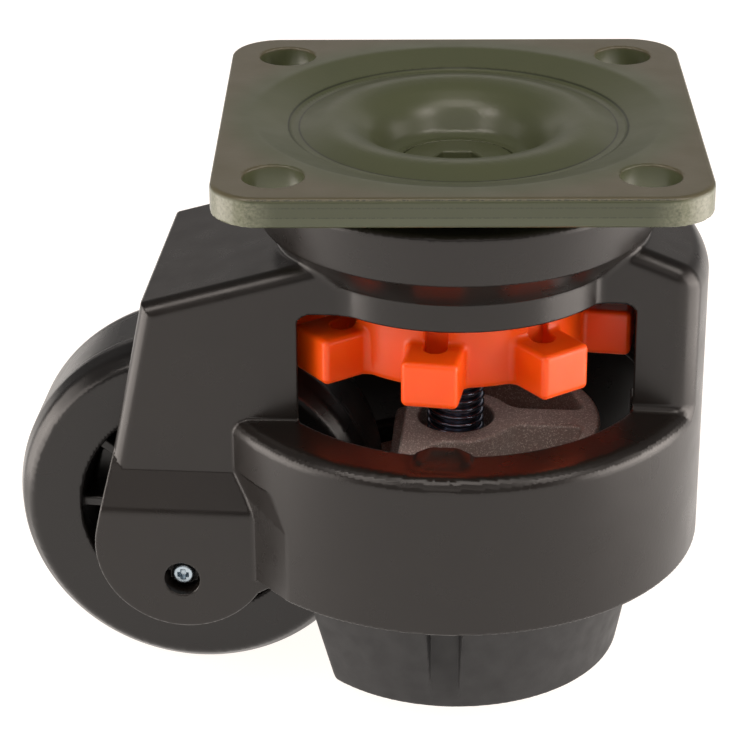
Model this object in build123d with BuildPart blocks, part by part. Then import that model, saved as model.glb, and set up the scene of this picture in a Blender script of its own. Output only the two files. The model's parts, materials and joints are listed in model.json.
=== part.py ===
from build123d import *
import math
import os

# Levelling castor. Millimetres. The origin is the centre of the top plate's mounting face,
# +Z is up, so everything hangs below z = 0. The wheel trails towards -X.

# ---- driving dimensions -------------------------------------------------------------------

swivel_angle = -4.2          # how far the housing is swivelled under the plate at rest

plate_size = 93.5
plate_thickness = 5.8
plate_corner_radius = 10.0
bolt_pitch = 70.0
bolt_hole_radius = 5.75

wheel_radius = 37.5
wheel_offset = 53.3          # swivel axis to wheel axle, measured level
wheel_tread_half_width = 7.9
wheel_half_width = 14.6
axle_radius = 5.0
axle_depth = 83.4            # mounting face down to the axle

head_top_depth = 9.4
head_radius = 42.4
neck_radius = 33.6
neck_bottom_depth = 32.8
cheek_half_width = 26.7
lobe_half_width = 31.0
lobe_radius = 17.95
pillar_half_width = 17.2
drum_radius = 50.6
chamber_radius = 39.7
drum_wall = 5.2
drum_bottom_depth = 89.7
ledge_depth = 55.1

dial_radius = 36.0
dial_top_depth = 38.4
dial_thickness = 9.6
dial_lug_count = 8
dial_lug_width = 11.2
dial_lug_angle = -94.6       # one lug's direction in the housing's frame

screw_radius = 6.0           # M12
thread_pitch = 1.75
foot_turns_up = 1            # whole turns of the dial from rest to the upper stop
foot_turns_down = 9

frame_top_depth = 66.5
frame_radius = 30.0
frame_cut_x = -11.0
pad_top_depth = 92.0
pad_bottom_depth = 116.2
pad_bottom_radius = 34.7
pad_taper = 0.19             # growth of the pad's radius for each millimetre up

past = 40.0                  # how far cuts run on beyond the part

# ---- clearances ---------------------------------------------------------------------------

running_clearance = 0.05     # radial, shaft in bore
ball_clearance = 0.05        # ball in its race
side_clearance = 0.3         # beside turning parts
guide_clearance = 0.4        # pad slot beside its rib
wheel_clearance = 1.2        # foot beside the wheel

# ---- swivel bearing, worked out from the plate down ----------------------------------------

dip_radius = 41.3            # where the flat of the plate starts to dip
groove_radius = 33.5
groove_depth = 2.1           # where the dip ends
groove_floor_depth = 2.55
groove_slope = 0.7
groove_width = 2.2
race_pitch_radius = 24.5
race_bulge_depth = 1.1
dish_rim_radius = 21.5
dish_floor_radius = 12.0
dish_floor_depth = 9.8
centre_wall = 4.5            # thickness of the stamped middle of the plate

upper_ball_radius = 2.75
lower_ball_radius = 2.5
ball_count = 10
upper_ball_depth = race_bulge_depth + centre_wall + ball_clearance + upper_ball_radius
race_inner_radius = 19.5
race_outer_radius = 29.6
race_thickness = 2.6
web_top_depth = upper_ball_depth + upper_ball_radius + ball_clearance + race_thickness
web_thickness = 5.0
web_bottom_depth = web_top_depth + web_thickness
web_bore_radius = 18.5
lower_ball_depth = web_bottom_depth + 2.0 + ball_clearance + lower_ball_radius
cup_bottom_depth = lower_ball_depth + lower_ball_radius + ball_clearance + 3.2
cup_radius = race_outer_radius - side_clearance

bolt_head_radius = 11.5
bolt_head_height = 3.8
bolt_socket_flats = 10.0
bolt_socket_depth = 3.2
bolt_seat_depth = dish_floor_depth + bolt_head_height
bolt_radius = 6.0
dish_bottom_depth = bolt_seat_depth + 4.0
dish_wall = 4.2              # round the bolt's head
dish_corner = 0.8
plate_edge_radius = 1.5
cup_hub_radius = 15.0
cup_track_depth = lower_ball_depth + 1.1
cup_recess_radius = 9.2
cup_recess_depth = cup_bottom_depth - 3.7

# ---- levelling screw, worked out from the neck down ----------------------------------------

thrust_plate_thickness = 2.9
thrust_plate_top_depth = neck_bottom_depth - thrust_plate_thickness
journal_step = 1.0           # the journals are turned this much below the thread
journal_radius = screw_radius - journal_step
clip_radius = 8.0
clip_thickness = 1.1
clip_groove_radius = journal_radius - 1.0
journal_top_depth = thrust_plate_top_depth - 2.2
thrust_washer_thickness = 2.0
thrust_washer_radius = 12.0
collar_top_depth = neck_bottom_depth + thrust_washer_thickness
collar_bottom_depth = dial_top_depth + 5.6
collar_flats = 19.0
foot_travel_up = foot_turns_up * thread_pitch
foot_travel_down = foot_turns_down * thread_pitch
end_clip_depth = pad_top_depth + foot_travel_down + 0.45
screw_end_depth = end_clip_depth + clip_thickness + 0.9

# ---- small fasteners and details -----------------------------------------------------------

axle_slot_half_length = lobe_half_width - 7.0
axle_half_length = axle_slot_half_length - side_clearance
axle_end_chamfer = 0.6
axle_screw_place = (-wheel_offset - 0.4, -axle_depth - 7.0)
axle_screw_radius = 1.65
axle_screw_head_radius = 2.3
axle_screw_head_height = 1.5
axle_screw_recess_radius = 3.55
axle_screw_recess_depth = 4.5
axle_screw_length = 9.0
cross_recess_length = 2.6
cross_recess_width = 0.7
cross_recess_depth = 1.0

guide_rib_angles = (-90, 0, 90)
pad_slot_radius = 35.3
pad_slot_half_width = 2.4 + guide_clearance
pad_flat_x = -23.5
pad_flat_lean = 0.277
pad_clip_room_depth = 20.9
pad_screw_radius = 2.5
pad_screw_head_radius = 4.25
pad_screw_head_height = 4.0
pad_screw_recess = 12.0
pad_screw_grip = 5.5         # how far the screw reaches into the frame
pad_screw_socket_flats = 4.0
pad_screw_socket_depth = 2.0
pad_screw_places = ((17.5, 15.5), (17.5, -15.5))

wheel_centre = (-wheel_offset, -axle_depth)
foot_gap_radius = wheel_radius + wheel_clearance


def tangent_point(outside, centre, radius, turn):
    """Where a line from a point outside a circle touches it; turn picks the side."""
    dx = outside[0] - centre[0]
    dz = outside[1] - centre[1]
    angle = math.atan2(dz, dx) + turn * math.acos(radius / math.hypot(dx, dz))
    return (centre[0] + radius * math.cos(angle), centre[1] + radius * math.sin(angle))


# ==== pieces that stay with the plate ========================================================

# The middle of the plate is stamped: a shallow dip, a bulge over the ball race, a deep dish.
with BuildPart() as top_plate:
    with BuildSketch():
        RectangleRounded(plate_size, plate_size, plate_corner_radius)
    extrude(amount=-plate_thickness)
    fillet(top_plate.faces().sort_by(Axis.Z)[-1].edges(), radius=plate_edge_radius)
    with GridLocations(bolt_pitch, bolt_pitch, 2, 2):
        Hole(radius=bolt_hole_radius)
    with BuildSketch(Plane.XY):
        Circle(dip_radius)
    extrude(amount=-plate_thickness, mode=Mode.SUBTRACT)
    with BuildSketch(Plane.XZ):
        with BuildLine():
            Polyline(
                (dip_radius, 0),
                (groove_radius, -groove_depth),
                (groove_radius - groove_slope, -groove_floor_depth),
                (groove_radius - groove_width, -groove_floor_depth),
            )
            Spline(
                (groove_radius - groove_width, -groove_floor_depth),
                (race_pitch_radius, -race_bulge_depth),
                (dish_rim_radius, -race_bulge_depth - 0.6),
                tangents=((-1, 0.35), (-0.85, -0.53)),
            )
            Spline(
                (dish_rim_radius, -race_bulge_depth - 0.6),
                (dish_rim_radius - 5.0, -dish_floor_depth + 3.0),
                (dish_floor_radius, -dish_floor_depth),
                tangents=((-0.85, -0.53), (-0.95, -0.3)),
            )
            Polyline(
                (dish_floor_radius, -dish_floor_depth),
                (dish_floor_radius, -bolt_seat_depth),
                (bolt_radius + running_clearance, -bolt_seat_depth),
                (bolt_radius + running_clearance, -dish_bottom_depth),
                (dish_floor_radius + dish_wall - dish_corner, -dish_bottom_depth),
                (dish_floor_radius + dish_wall, -dish_bottom_depth + dish_corner),
                (dish_floor_radius + dish_wall, -dish_floor_depth - 1.2),
                (dish_rim_radius - 1.0, -race_bulge_depth - centre_wall - dish_corner),
                (race_outer_radius, -race_bulge_depth - centre_wall - dish_corner),
                (groove_radius, -groove_depth - plate_thickness),
                (dip_radius, -plate_thickness),
                (dip_radius, 0),
            )
        make_face()
    revolve(axis=Axis.Z)
    with BuildSketch(Plane.XZ):
        with Locations((race_pitch_radius, -upper_ball_depth)):
            Circle(upper_ball_radius + ball_clearance)
    revolve(axis=Axis.Z, mode=Mode.SUBTRACT)

with BuildPart() as king_bolt:
    with BuildSketch(Plane.XY.offset(-bolt_seat_depth)):
        Circle(bolt_head_radius)
    extrude(amount=bolt_head_height)
    chamfer(king_bolt.edges().sort_by(Axis.Z)[-1], length=0.5)
    with BuildSketch(Plane.XY.offset(-dish_floor_depth)):
        RegularPolygon(radius=bolt_socket_flats / 2, side_count=6, major_radius=False)
    extrude(amount=-bolt_socket_depth, mode=Mode.SUBTRACT)
    with BuildSketch(Plane.XY.offset(-bolt_seat_depth)):
        Circle(bolt_radius)
    extrude(amount=bolt_seat_depth - cup_recess_depth)

# Hub and lower track in one turned piece, screwed up on the king bolt.
with BuildPart() as lower_cup:
    with BuildSketch(Plane.XZ):
        with BuildLine():
            Polyline(
                (bolt_radius + running_clearance, -dish_bottom_depth),
                (cup_hub_radius, -dish_bottom_depth),
                (cup_hub_radius, -cup_track_depth),
                (cup_radius, -cup_track_depth),
                (cup_radius, -cup_bottom_depth),
                (cup_recess_radius, -cup_bottom_depth),
                (cup_recess_radius, -cup_recess_depth),
                (bolt_radius + running_clearance, -cup_recess_depth),
                close=True,
            )
        make_face()
        with Locations((race_pitch_radius, -lower_ball_depth)):
            Circle(lower_ball_radius + ball_clearance, mode=Mode.SUBTRACT)
    revolve(axis=Axis.Z)


# ==== pieces that swivel: the housing ========================================================

roof_slope = 0.288
tail_top = (-60.8, -32.3)
cheek_crease_depth = 67.7
lobe_crease_depth = 75.3
roof_thickness = 4.5
lobe_foot_x = -31.9           # where the lobe's lower edge meets the drum
lobe_arc_end = math.radians(-33)
arm_front_x = -15.0
soft_edge_radius = 2.4
crisp_edge_radius = 0.6

tail_foot = tangent_point(tail_top, wheel_centre, lobe_radius, 1)


def roof_height(x):
    """Height of the roof's top face over a point x along the housing."""
    return tail_top[1] + roof_slope * (x - tail_top[0])


# The cheek seen from the side: sloping roof, leaning tail, and the arc round the axle.
arc_end = (wheel_centre[0] + lobe_radius * math.cos(lobe_arc_end),
           wheel_centre[1] + lobe_radius * math.sin(lobe_arc_end))
arc_middle = (wheel_centre[0], wheel_centre[1] - lobe_radius)
with BuildLine() as cheek_line:
    Polyline(
        tail_foot,
        tail_top,
        (arm_front_x, roof_height(arm_front_x)),
        (arm_front_x, -drum_bottom_depth),
        (lobe_foot_x, -drum_bottom_depth),
        arc_end,
    )
    ThreePointArc(arc_end, arc_middle, tail_foot)


def on_outer_faces(edge):
    """Whether an edge lies on a cheek, a joggle or a lobe face, or between them."""
    return abs(edge.center().Y) > cheek_half_width - 0.01


def on_lobe_rim(edge):
    """Whether an edge runs round a lobe or down the end of its joggle."""
    centre = edge.center()
    beyond_cheek = abs(centre.Y) > cheek_half_width + 0.02
    return beyond_cheek and (centre.X < tail_foot[0] + 2.5 or centre.Z < -drum_bottom_depth)


# Roof, cheeks and axle lobes as one block, hollowed later by the wheel well and dial chamber.
# Above the lobes the sides are joggled in to the cheeks.
joggle_fall = (lobe_crease_depth - cheek_crease_depth) / (lobe_half_width - cheek_half_width)
with BuildPart() as arm_block:
    with BuildSketch(Plane.XZ.offset(-lobe_half_width)):
        add(cheek_line.line)
        make_face()
    extrude(amount=2 * lobe_half_width)
    with BuildSketch(Plane.YZ.offset(-wheel_offset - past)):
        for side in (-1, 1):
            with BuildLine():
                Polyline(
                    (side * cheek_half_width, -cheek_crease_depth),
                    (side * (lobe_half_width + 1.0), -lobe_crease_depth - joggle_fall),
                    (side * (lobe_half_width + 1.0), 0),
                    (side * cheek_half_width, 0),
                    close=True,
                )
            make_face()
    extrude(amount=wheel_offset + past, mode=Mode.SUBTRACT)
    side_edges = arm_block.edges().filter_by(on_outer_faces).filter_by(GeomType.LINE)
    roof_edges = side_edges.group_by(Axis.Z)[-1]
    cheek_tail_edges = side_edges.filter_by(
        lambda edge: edge.center().X < tail_top[0] and edge.center().Z > -cheek_crease_depth
    )
    cross_edges = arm_block.edges().filter_by(Axis.Y)
    rear_edge = cross_edges.filter_by_position(Axis.X, tail_top[0] - 1, tail_top[0] + 1)
    fillet(roof_edges + cheek_tail_edges + rear_edge, radius=soft_edge_radius)
    fillet(arm_block.edges().filter_by(on_lobe_rim), radius=crisp_edge_radius)

pillar_inner_x = 28.0
pillar_root = 8.0            # how far the pillar runs down into the drum's wall
crown_start = (34.4, -20.9)
crown_slope = -0.4


def crown_height(x):
    """Height of the pillar's sloping top over a point x along the housing."""
    return crown_start[1] + crown_slope * (x - crown_start[0])


# Front pillar that joins the head to the drum opposite the wheel.
with BuildPart() as pillar:
    with BuildSketch(Plane.XZ):
        with BuildLine():
            Polyline(
                (pillar_inner_x, crown_height(pillar_inner_x)),
                (drum_radius, crown_height(drum_radius)),
                (drum_radius, -ledge_depth - pillar_root),
                (pillar_inner_x, -ledge_depth - pillar_root),
                close=True,
            )
        make_face()
    extrude(amount=pillar_half_width, both=True)
    with BuildSketch(Plane.XY.offset(-ledge_depth - pillar_root)):
        Circle(drum_radius)
    extrude(amount=ledge_depth, mode=Mode.INTERSECT)
    outer_edges = pillar.faces().sort_by(Axis.X)[-1].edges().filter_by(Axis.Z)
    side_face_edges = pillar.faces().filter_by(Axis.Y).edges()
    crown_edges = side_face_edges.filter_by(Axis.Z, reverse=True).group_by(Axis.Z)[-2]
    fillet(outer_edges + crown_edges, radius=soft_edge_radius)

wheel_well_half_width = wheel_half_width + 1.4
guide_rib_width = 4.8
guide_rib_radius = 36.0
guide_rib_length = drum_radius - 1.0 - guide_rib_radius
housing_bore_radius = drum_radius - drum_wall
ledge_thickness = 5.5
head_waist_depth = 20.4
undercut_depth = 27.0
head_edge_radius = 0.9
bearing_room_radius = race_outer_radius + 5.0
head_wall = 3.6              # the head's rim round the bearing room
well_lip_x = -62.0           # where the roof's rear lip turns down over the wheel
well_lip_depth = 6.0
well_front_x = -20.0
chamber_edge_radius = 2.2

ledge_fall = 1.2             # from the window's sill to the start of its rounded edge
ledge_edge_radius = 2.8
# the flat that blends the drum into each joggle: its upper front corner, its outward
# direction, and its length and height
blend_corner = (-36.0, 35.6, -68.0)
blend_direction = (-0.777, 0.603, -0.18)
blend_length = 16.0
blend_height = 7.0

with BuildPart() as housing:
    # drum with its sill sloping outwards, and a flat towards each joggle
    with BuildSketch(Plane.XZ):
        with BuildLine():
            Polyline(
                (race_inner_radius, -ledge_depth),
                (chamber_radius + 1.0, -ledge_depth),
                (drum_radius - ledge_edge_radius, -ledge_depth - ledge_fall),
            )
            TangentArc(
                (drum_radius - ledge_edge_radius, -ledge_depth - ledge_fall),
                (drum_radius, -ledge_depth - ledge_fall - ledge_edge_radius),
                tangent=(1.0, -0.16),
            )
            Polyline(
                (drum_radius, -ledge_depth - ledge_fall - ledge_edge_radius),
                (drum_radius, -drum_bottom_depth + crisp_edge_radius),
                (drum_radius - crisp_edge_radius, -drum_bottom_depth),
                (race_inner_radius, -drum_bottom_depth),
                (race_inner_radius, -ledge_depth),
            )
        make_face()
    revolve(axis=Axis.Z)
    for side in (-1, 1):
        blend_plane = Plane(
            origin=(blend_corner[0], side * blend_corner[1], blend_corner[2]),
            x_dir=(-blend_direction[1], side * blend_direction[0], 0),
            z_dir=(blend_direction[0], side * blend_direction[1], blend_direction[2]),
        )
        with BuildSketch(blend_plane):
            with BuildLine():
                Polyline(
                    (0, 0),
                    (blend_length, 0),
                    (blend_length, side * blend_height),
                    (-blend_height, side * blend_height),
                    close=True,
                )
            make_face()
        extrude(amount=ledge_edge_radius, mode=Mode.SUBTRACT)
    add(arm_block.part)
    add(pillar.part)
    # head, a turned form
    with BuildSketch(Plane.XZ) as head_profile:
        with BuildLine():
            Polyline(
                (0, -web_top_depth),
                (bearing_room_radius, -web_top_depth),
                (head_radius - head_wall, -head_top_depth),
                (head_radius, -head_top_depth),
                (head_radius - 2.4, -head_waist_depth),
                (neck_radius, -undercut_depth),
                (neck_radius, -neck_bottom_depth),
                (0, -neck_bottom_depth),
                close=True,
            )
        make_face()
        corners = head_profile.vertices()
        outer_corners = corners.filter_by_position(Axis.X, neck_radius - 0.1, head_radius + 0.1)
        fillet(outer_corners.sort_by(Axis.Y)[1:], radius=head_edge_radius)
    revolve(axis=Axis.Z)
    # room for the swivel bearing above and below the web
    with BuildSketch(Plane.XY.offset(-web_top_depth)):
        Circle(bearing_room_radius)
    extrude(amount=web_top_depth, mode=Mode.SUBTRACT)
    with BuildSketch(Plane.XY.offset(-web_bottom_depth)):
        Circle(web_bore_radius)
    extrude(amount=web_thickness, mode=Mode.SUBTRACT)
    with BuildSketch(Plane.XY.offset(-neck_bottom_depth)):
        Circle(race_outer_radius)
    extrude(amount=neck_bottom_depth - web_bottom_depth, mode=Mode.SUBTRACT)
    # dial chamber with a rounded ceiling, and the wider bore for the foot below the ledge
    with BuildSketch(Plane.XZ):
        with BuildLine():
            Polyline(
                (0, -neck_bottom_depth),
                (chamber_radius - chamber_edge_radius, -neck_bottom_depth),
            )
            RadiusArc(
                (chamber_radius - chamber_edge_radius, -neck_bottom_depth),
                (chamber_radius, -neck_bottom_depth - chamber_edge_radius),
                chamber_edge_radius,
            )
            Polyline(
                (chamber_radius, -neck_bottom_depth - chamber_edge_radius),
                (chamber_radius, -drum_bottom_depth),
                (0, -drum_bottom_depth),
                (0, -neck_bottom_depth),
            )
        make_face()
    revolve(axis=Axis.Z, mode=Mode.SUBTRACT)
    with BuildSketch(Plane.XY.offset(-ledge_depth - ledge_thickness)):
        Circle(housing_bore_radius)
    extrude(amount=-drum_bottom_depth, mode=Mode.SUBTRACT)
    # wheel well: open below and behind, closed above by the roof
    with BuildSketch(Plane.XZ.offset(-wheel_well_half_width)):
        with BuildLine():
            Polyline(
                (-wheel_offset - past, roof_height(well_lip_x) - roof_thickness - well_lip_depth),
                (well_lip_x, roof_height(well_lip_x) - roof_thickness - well_lip_depth),
                (well_lip_x + well_lip_depth, roof_height(well_lip_x + well_lip_depth) - roof_thickness),
                (-neck_radius, roof_height(-neck_radius) - roof_thickness),
                (-neck_radius, -neck_bottom_depth),
                (well_front_x, -neck_bottom_depth),
                (well_front_x, -drum_bottom_depth - past),
                (-wheel_offset - past, -drum_bottom_depth - past),
                close=True,
            )
        make_face()
    extrude(amount=2 * wheel_well_half_width, mode=Mode.SUBTRACT)
    # blind slots that the axle is pushed up into
    with BuildSketch(Plane.XZ.offset(-axle_slot_half_length)):
        with Locations(wheel_centre):
            Circle(axle_radius + running_clearance)
        with Locations((wheel_centre[0], wheel_centre[1] - lobe_radius)):
            Rectangle(2 * (axle_radius + running_clearance), 2 * lobe_radius)
    extrude(amount=2 * axle_slot_half_length, mode=Mode.SUBTRACT)
    # a recessed screw hole in each lobe, just under the axle
    for side in (-1, 1):
        screw_plane = Plane(
            origin=(axle_screw_place[0], side * lobe_half_width, axle_screw_place[1]),
            x_dir=(1, 0, 0),
            z_dir=(0, side, 0),
        )
        with BuildSketch(screw_plane):
            Circle(axle_screw_recess_radius)
        extrude(amount=-axle_screw_recess_depth, mode=Mode.SUBTRACT)
        with BuildSketch(screw_plane):
            Circle(axle_screw_radius + running_clearance)
        extrude(amount=-axle_screw_recess_depth - axle_screw_length, mode=Mode.SUBTRACT)
    # ribs on the bore that keep the foot from turning
    with BuildSketch(Plane.XY.offset(-drum_bottom_depth + 1.0)):
        for angle in guide_rib_angles:
            with Locations(Rotation(0, 0, angle)):
                with Locations((guide_rib_radius, 0)):
                    Rectangle(guide_rib_length, guide_rib_width, align=(Align.MIN, Align.CENTER))
    extrude(amount=drum_bottom_depth - 1.0 - ledge_depth - ledge_thickness)

race_width = race_outer_radius - race_inner_radius

# Hardened rings that the balls run on, seated above and below the housing's web.
with BuildPart() as upper_race:
    with BuildSketch(Plane.XZ):
        with Locations((race_inner_radius, -web_top_depth)):
            Rectangle(race_width, race_thickness, align=(Align.MIN, Align.MIN))
        with Locations((race_pitch_radius, -upper_ball_depth)):
            Circle(upper_ball_radius + ball_clearance, mode=Mode.SUBTRACT)
    revolve(axis=Axis.Z)

lower_race_thickness = 3.4
with BuildPart() as lower_race:
    with BuildSketch(Plane.XZ):
        with Locations((race_inner_radius, -web_bottom_depth)):
            Rectangle(race_width, lower_race_thickness, align=(Align.MIN, Align.MAX))
        with Locations((race_pitch_radius, -lower_ball_depth)):
            Circle(lower_ball_radius + ball_clearance, mode=Mode.SUBTRACT)
    revolve(axis=Axis.Z)


def ball_ring(depth, radius):
    """A ring of separate balls on the race's pitch circle."""
    with BuildPart() as ring:
        with Locations((0, 0, -depth)):
            with PolarLocations(race_pitch_radius, ball_count):
                Sphere(radius)
    return ring


upper_balls = ball_ring(upper_ball_depth, upper_ball_radius)
lower_balls = ball_ring(lower_ball_depth, lower_ball_radius)

# Disc pressed into the neck from below: the levelling screw turns in it and pushes on it.
with BuildPart() as thrust_plate:
    with BuildSketch(Plane.XY.offset(-neck_bottom_depth)):
        Circle(race_outer_radius)
        Circle(journal_radius + running_clearance, mode=Mode.SUBTRACT)
    extrude(amount=thrust_plate_thickness)

with BuildPart() as thrust_washer:
    with BuildSketch(Plane.XY.offset(-collar_top_depth)):
        Circle(thrust_washer_radius)
        Circle(journal_radius + running_clearance, mode=Mode.SUBTRACT)
    extrude(amount=thrust_washer_thickness)

with BuildPart() as axle:
    with BuildSketch(Plane.XZ.offset(-axle_half_length)):
        with Locations(wheel_centre):
            Circle(axle_radius)
    extrude(amount=2 * axle_half_length)
    chamfer(axle.edges().filter_by(GeomType.CIRCLE), length=axle_end_chamfer)

axle_screw_seat = lobe_half_width - axle_screw_recess_depth
with BuildPart() as axle_screws:
    for side in (-1, 1):
        screw_plane = Plane(
            origin=(axle_screw_place[0], side * axle_screw_seat, axle_screw_place[1]),
            x_dir=(1, 0, 0),
            z_dir=(0, side, 0),
        )
        with BuildSketch(screw_plane):
            Circle(axle_screw_head_radius)
        extrude(amount=axle_screw_head_height)
        with BuildSketch(screw_plane):
            Circle(axle_screw_radius)
        extrude(amount=-axle_screw_length + side_clearance)
        with BuildSketch(screw_plane.offset(axle_screw_head_height)):
            Rectangle(cross_recess_length, cross_recess_width)
            Rectangle(cross_recess_width, cross_recess_length)
        extrude(amount=-cross_recess_depth, mode=Mode.SUBTRACT)


# ==== wheel ==================================================================================

wheel_rim_inner_radius = 23.6
wheel_hub_radius = 10.5
wheel_web_half_width = 3.5
wheel_shoulder = 4.1         # how far the tread's rounded shoulder takes in the rim
wheel_side_radius = wheel_radius - wheel_shoulder
wheel_rib_count = 10
bush_wall = 1.5
bush_length = 12.6
bush_flange_radius = 9.0
bush_flange = 0.8
wheel_draft = 0.8
wheel_corner = 0.6
wheel_shoulder_radius = wheel_radius - 1.5
wheel_shoulder_half_width = wheel_half_width - 3.0
wheel_bore_radius = axle_radius + bush_wall + running_clearance
wheel_rib_width = 2.2
wheel_rib_setback = 2.5

with BuildPart() as wheel:
    with BuildSketch(Plane.XY):
        with BuildLine():
            Polyline(
                (wheel_bore_radius, -wheel_half_width),
                (wheel_hub_radius, -wheel_half_width),
                (wheel_hub_radius + wheel_draft, -wheel_web_half_width),
                (wheel_rim_inner_radius - wheel_draft, -wheel_web_half_width),
                (wheel_rim_inner_radius, -wheel_half_width + wheel_corner),
                (wheel_rim_inner_radius + wheel_corner, -wheel_half_width),
                (wheel_side_radius, -wheel_half_width),
            )
            Spline(
                (wheel_side_radius, -wheel_half_width),
                (wheel_shoulder_radius, -wheel_shoulder_half_width),
                (wheel_radius, -wheel_tread_half_width),
                tangents=((1, 0.25), (0.05, 1)),
            )
            Polyline(
                (wheel_radius, -wheel_tread_half_width),
                (wheel_radius, wheel_tread_half_width),
            )
            Spline(
                (wheel_radius, wheel_tread_half_width),
                (wheel_shoulder_radius, wheel_shoulder_half_width),
                (wheel_side_radius, wheel_half_width),
                tangents=((-0.05, 1), (-1, 0.25)),
            )
            Polyline(
                (wheel_side_radius, wheel_half_width),
                (wheel_rim_inner_radius + wheel_corner, wheel_half_width),
                (wheel_rim_inner_radius, wheel_half_width - wheel_corner),
                (wheel_rim_inner_radius - wheel_draft, wheel_web_half_width),
                (wheel_hub_radius + wheel_draft, wheel_web_half_width),
                (wheel_hub_radius, wheel_half_width),
                (wheel_bore_radius, wheel_half_width),
                (wheel_bore_radius, -wheel_half_width),
            )
        make_face()
    revolve(axis=Axis.Y)
    with BuildSketch(Plane.XZ.offset(-wheel_half_width + wheel_rib_setback)):
        with PolarLocations((wheel_rim_inner_radius + wheel_hub_radius) / 2, wheel_rib_count):
            Rectangle(wheel_rim_inner_radius - wheel_hub_radius + wheel_corner, wheel_rib_width)
    extrude(amount=2 * (wheel_half_width - wheel_rib_setback))

with BuildPart() as wheel_bushes:
    for side in (-1, 1):
        end_plane = Plane(origin=(0, side * wheel_half_width, 0), x_dir=(1, 0, 0), z_dir=(0, side, 0))
        with BuildSketch(end_plane):
            Circle(bush_flange_radius)
            Circle(axle_radius + running_clearance, mode=Mode.SUBTRACT)
        extrude(amount=bush_flange)
        with BuildSketch(end_plane):
            Circle(axle_radius + bush_wall)
            Circle(axle_radius + running_clearance, mode=Mode.SUBTRACT)
        extrude(amount=-bush_length)


# ==== dial and levelling screw ===============================================================

dial_root_radius = 27.0
dial_edge_radius = 1.1
lug_pocket_width = 4.6
lug_pocket_depth = 5.5
lug_pocket_length = 11.0
lug_pocket_end_radius = 30.1
dial_root_fillet = 3.5
lug_inner_radius = 22.0

with BuildPart() as adjusting_dial:
    with BuildSketch(Plane.XY.offset(-dial_top_depth - dial_thickness)) as star:
        Circle(dial_root_radius)
        lug_middle = (lug_inner_radius + dial_radius) / 2
        with PolarLocations(lug_middle, dial_lug_count, start_angle=dial_lug_angle):
            Rectangle(dial_radius - lug_inner_radius, dial_lug_width)
        root_corners = star.vertices().filter_by(
            lambda corner: abs(math.hypot(corner.X, corner.Y) - dial_root_radius) < 0.01
        )
        fillet(root_corners, radius=dial_root_fillet)
    extrude(amount=dial_thickness)
    top_and_bottom = adjusting_dial.faces().filter_by(Axis.Z).edges()
    fillet(top_and_bottom, radius=dial_edge_radius)
    with BuildSketch(Plane.XY.offset(-dial_top_depth)):
        pocket_middle = lug_pocket_end_radius - lug_pocket_length / 2
        with PolarLocations(pocket_middle, dial_lug_count, start_angle=dial_lug_angle):
            SlotOverall(lug_pocket_length, lug_pocket_width)
    extrude(amount=-lug_pocket_depth, mode=Mode.SUBTRACT)
    with BuildSketch(Plane.XY.offset(-dial_top_depth)):
        RegularPolygon(radius=collar_flats / 2, side_count=6, major_radius=False)
    extrude(amount=-(collar_bottom_depth - dial_top_depth), mode=Mode.SUBTRACT)
    with BuildSketch(Plane.XY.offset(-dial_top_depth)):
        Circle(screw_radius + running_clearance)
    extrude(amount=-dial_thickness, mode=Mode.SUBTRACT)

with BuildPart() as levelling_screw:
    with BuildSketch(Plane.XZ):
        with BuildLine():
            Polyline(
                (0, -journal_top_depth),
                (journal_radius - 0.6, -journal_top_depth),
                (journal_radius, -journal_top_depth - 0.6),
                (journal_radius, -thrust_plate_top_depth + clip_thickness),
                (clip_groove_radius, -thrust_plate_top_depth + clip_thickness),
                (clip_groove_radius, -thrust_plate_top_depth),
                (journal_radius, -thrust_plate_top_depth),
                (journal_radius, -collar_top_depth),
                (screw_radius, -collar_top_depth),
                (screw_radius, -end_clip_depth + 0.8),
                (journal_radius, -end_clip_depth),
                (clip_groove_radius, -end_clip_depth),
                (clip_groove_radius, -end_clip_depth - clip_thickness),
                (journal_radius, -end_clip_depth - clip_thickness),
                (journal_radius, -screw_end_depth),
                (0, -screw_end_depth),
                close=True,
            )
        make_face()
    revolve(axis=Axis.Z)
    with BuildSketch(Plane.XY.offset(-collar_bottom_depth)):
        RegularPolygon(radius=collar_flats / 2, side_count=6, major_radius=False)
    extrude(amount=collar_bottom_depth - collar_top_depth)


def retaining_clip(top_depth):
    """A flat clip snapped into a groove of the screw, open at one side."""
    with BuildPart() as clip:
        with BuildSketch(Plane.XY.offset(-top_depth - clip_thickness)):
            Circle(clip_radius)
            Circle(clip_groove_radius + running_clearance, mode=Mode.SUBTRACT)
            with Locations((clip_radius, 0)):
                Rectangle(2 * clip_radius, 1.5 * clip_groove_radius, mode=Mode.SUBTRACT)
        extrude(amount=clip_thickness)
    return clip


screw_clip = retaining_clip(thrust_plate_top_depth - clip_thickness)
end_clip = retaining_clip(end_clip_depth)


# ==== foot ===================================================================================

frame_boss_radius = 13.0
frame_arm_half_width = 4.5
frame_rim_inner_radius = 26.2
frame_mouth_radius = 7.8
frame_mouth_depth = 4.5
frame_pocket_depth = 15.0
frame_base_radius = 34.0
frame_base_thickness = 4.0
clip_room_radius = 9.0
frame_flange_x = -24.0
frame_step_x = -14.4         # the frame's lower part reaches nearer to the wheel
frame_step_depth = 78.0
frame_rib = 3.3              # wall left beside the cut side
pad_screw_thread_depth = 6.0


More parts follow.
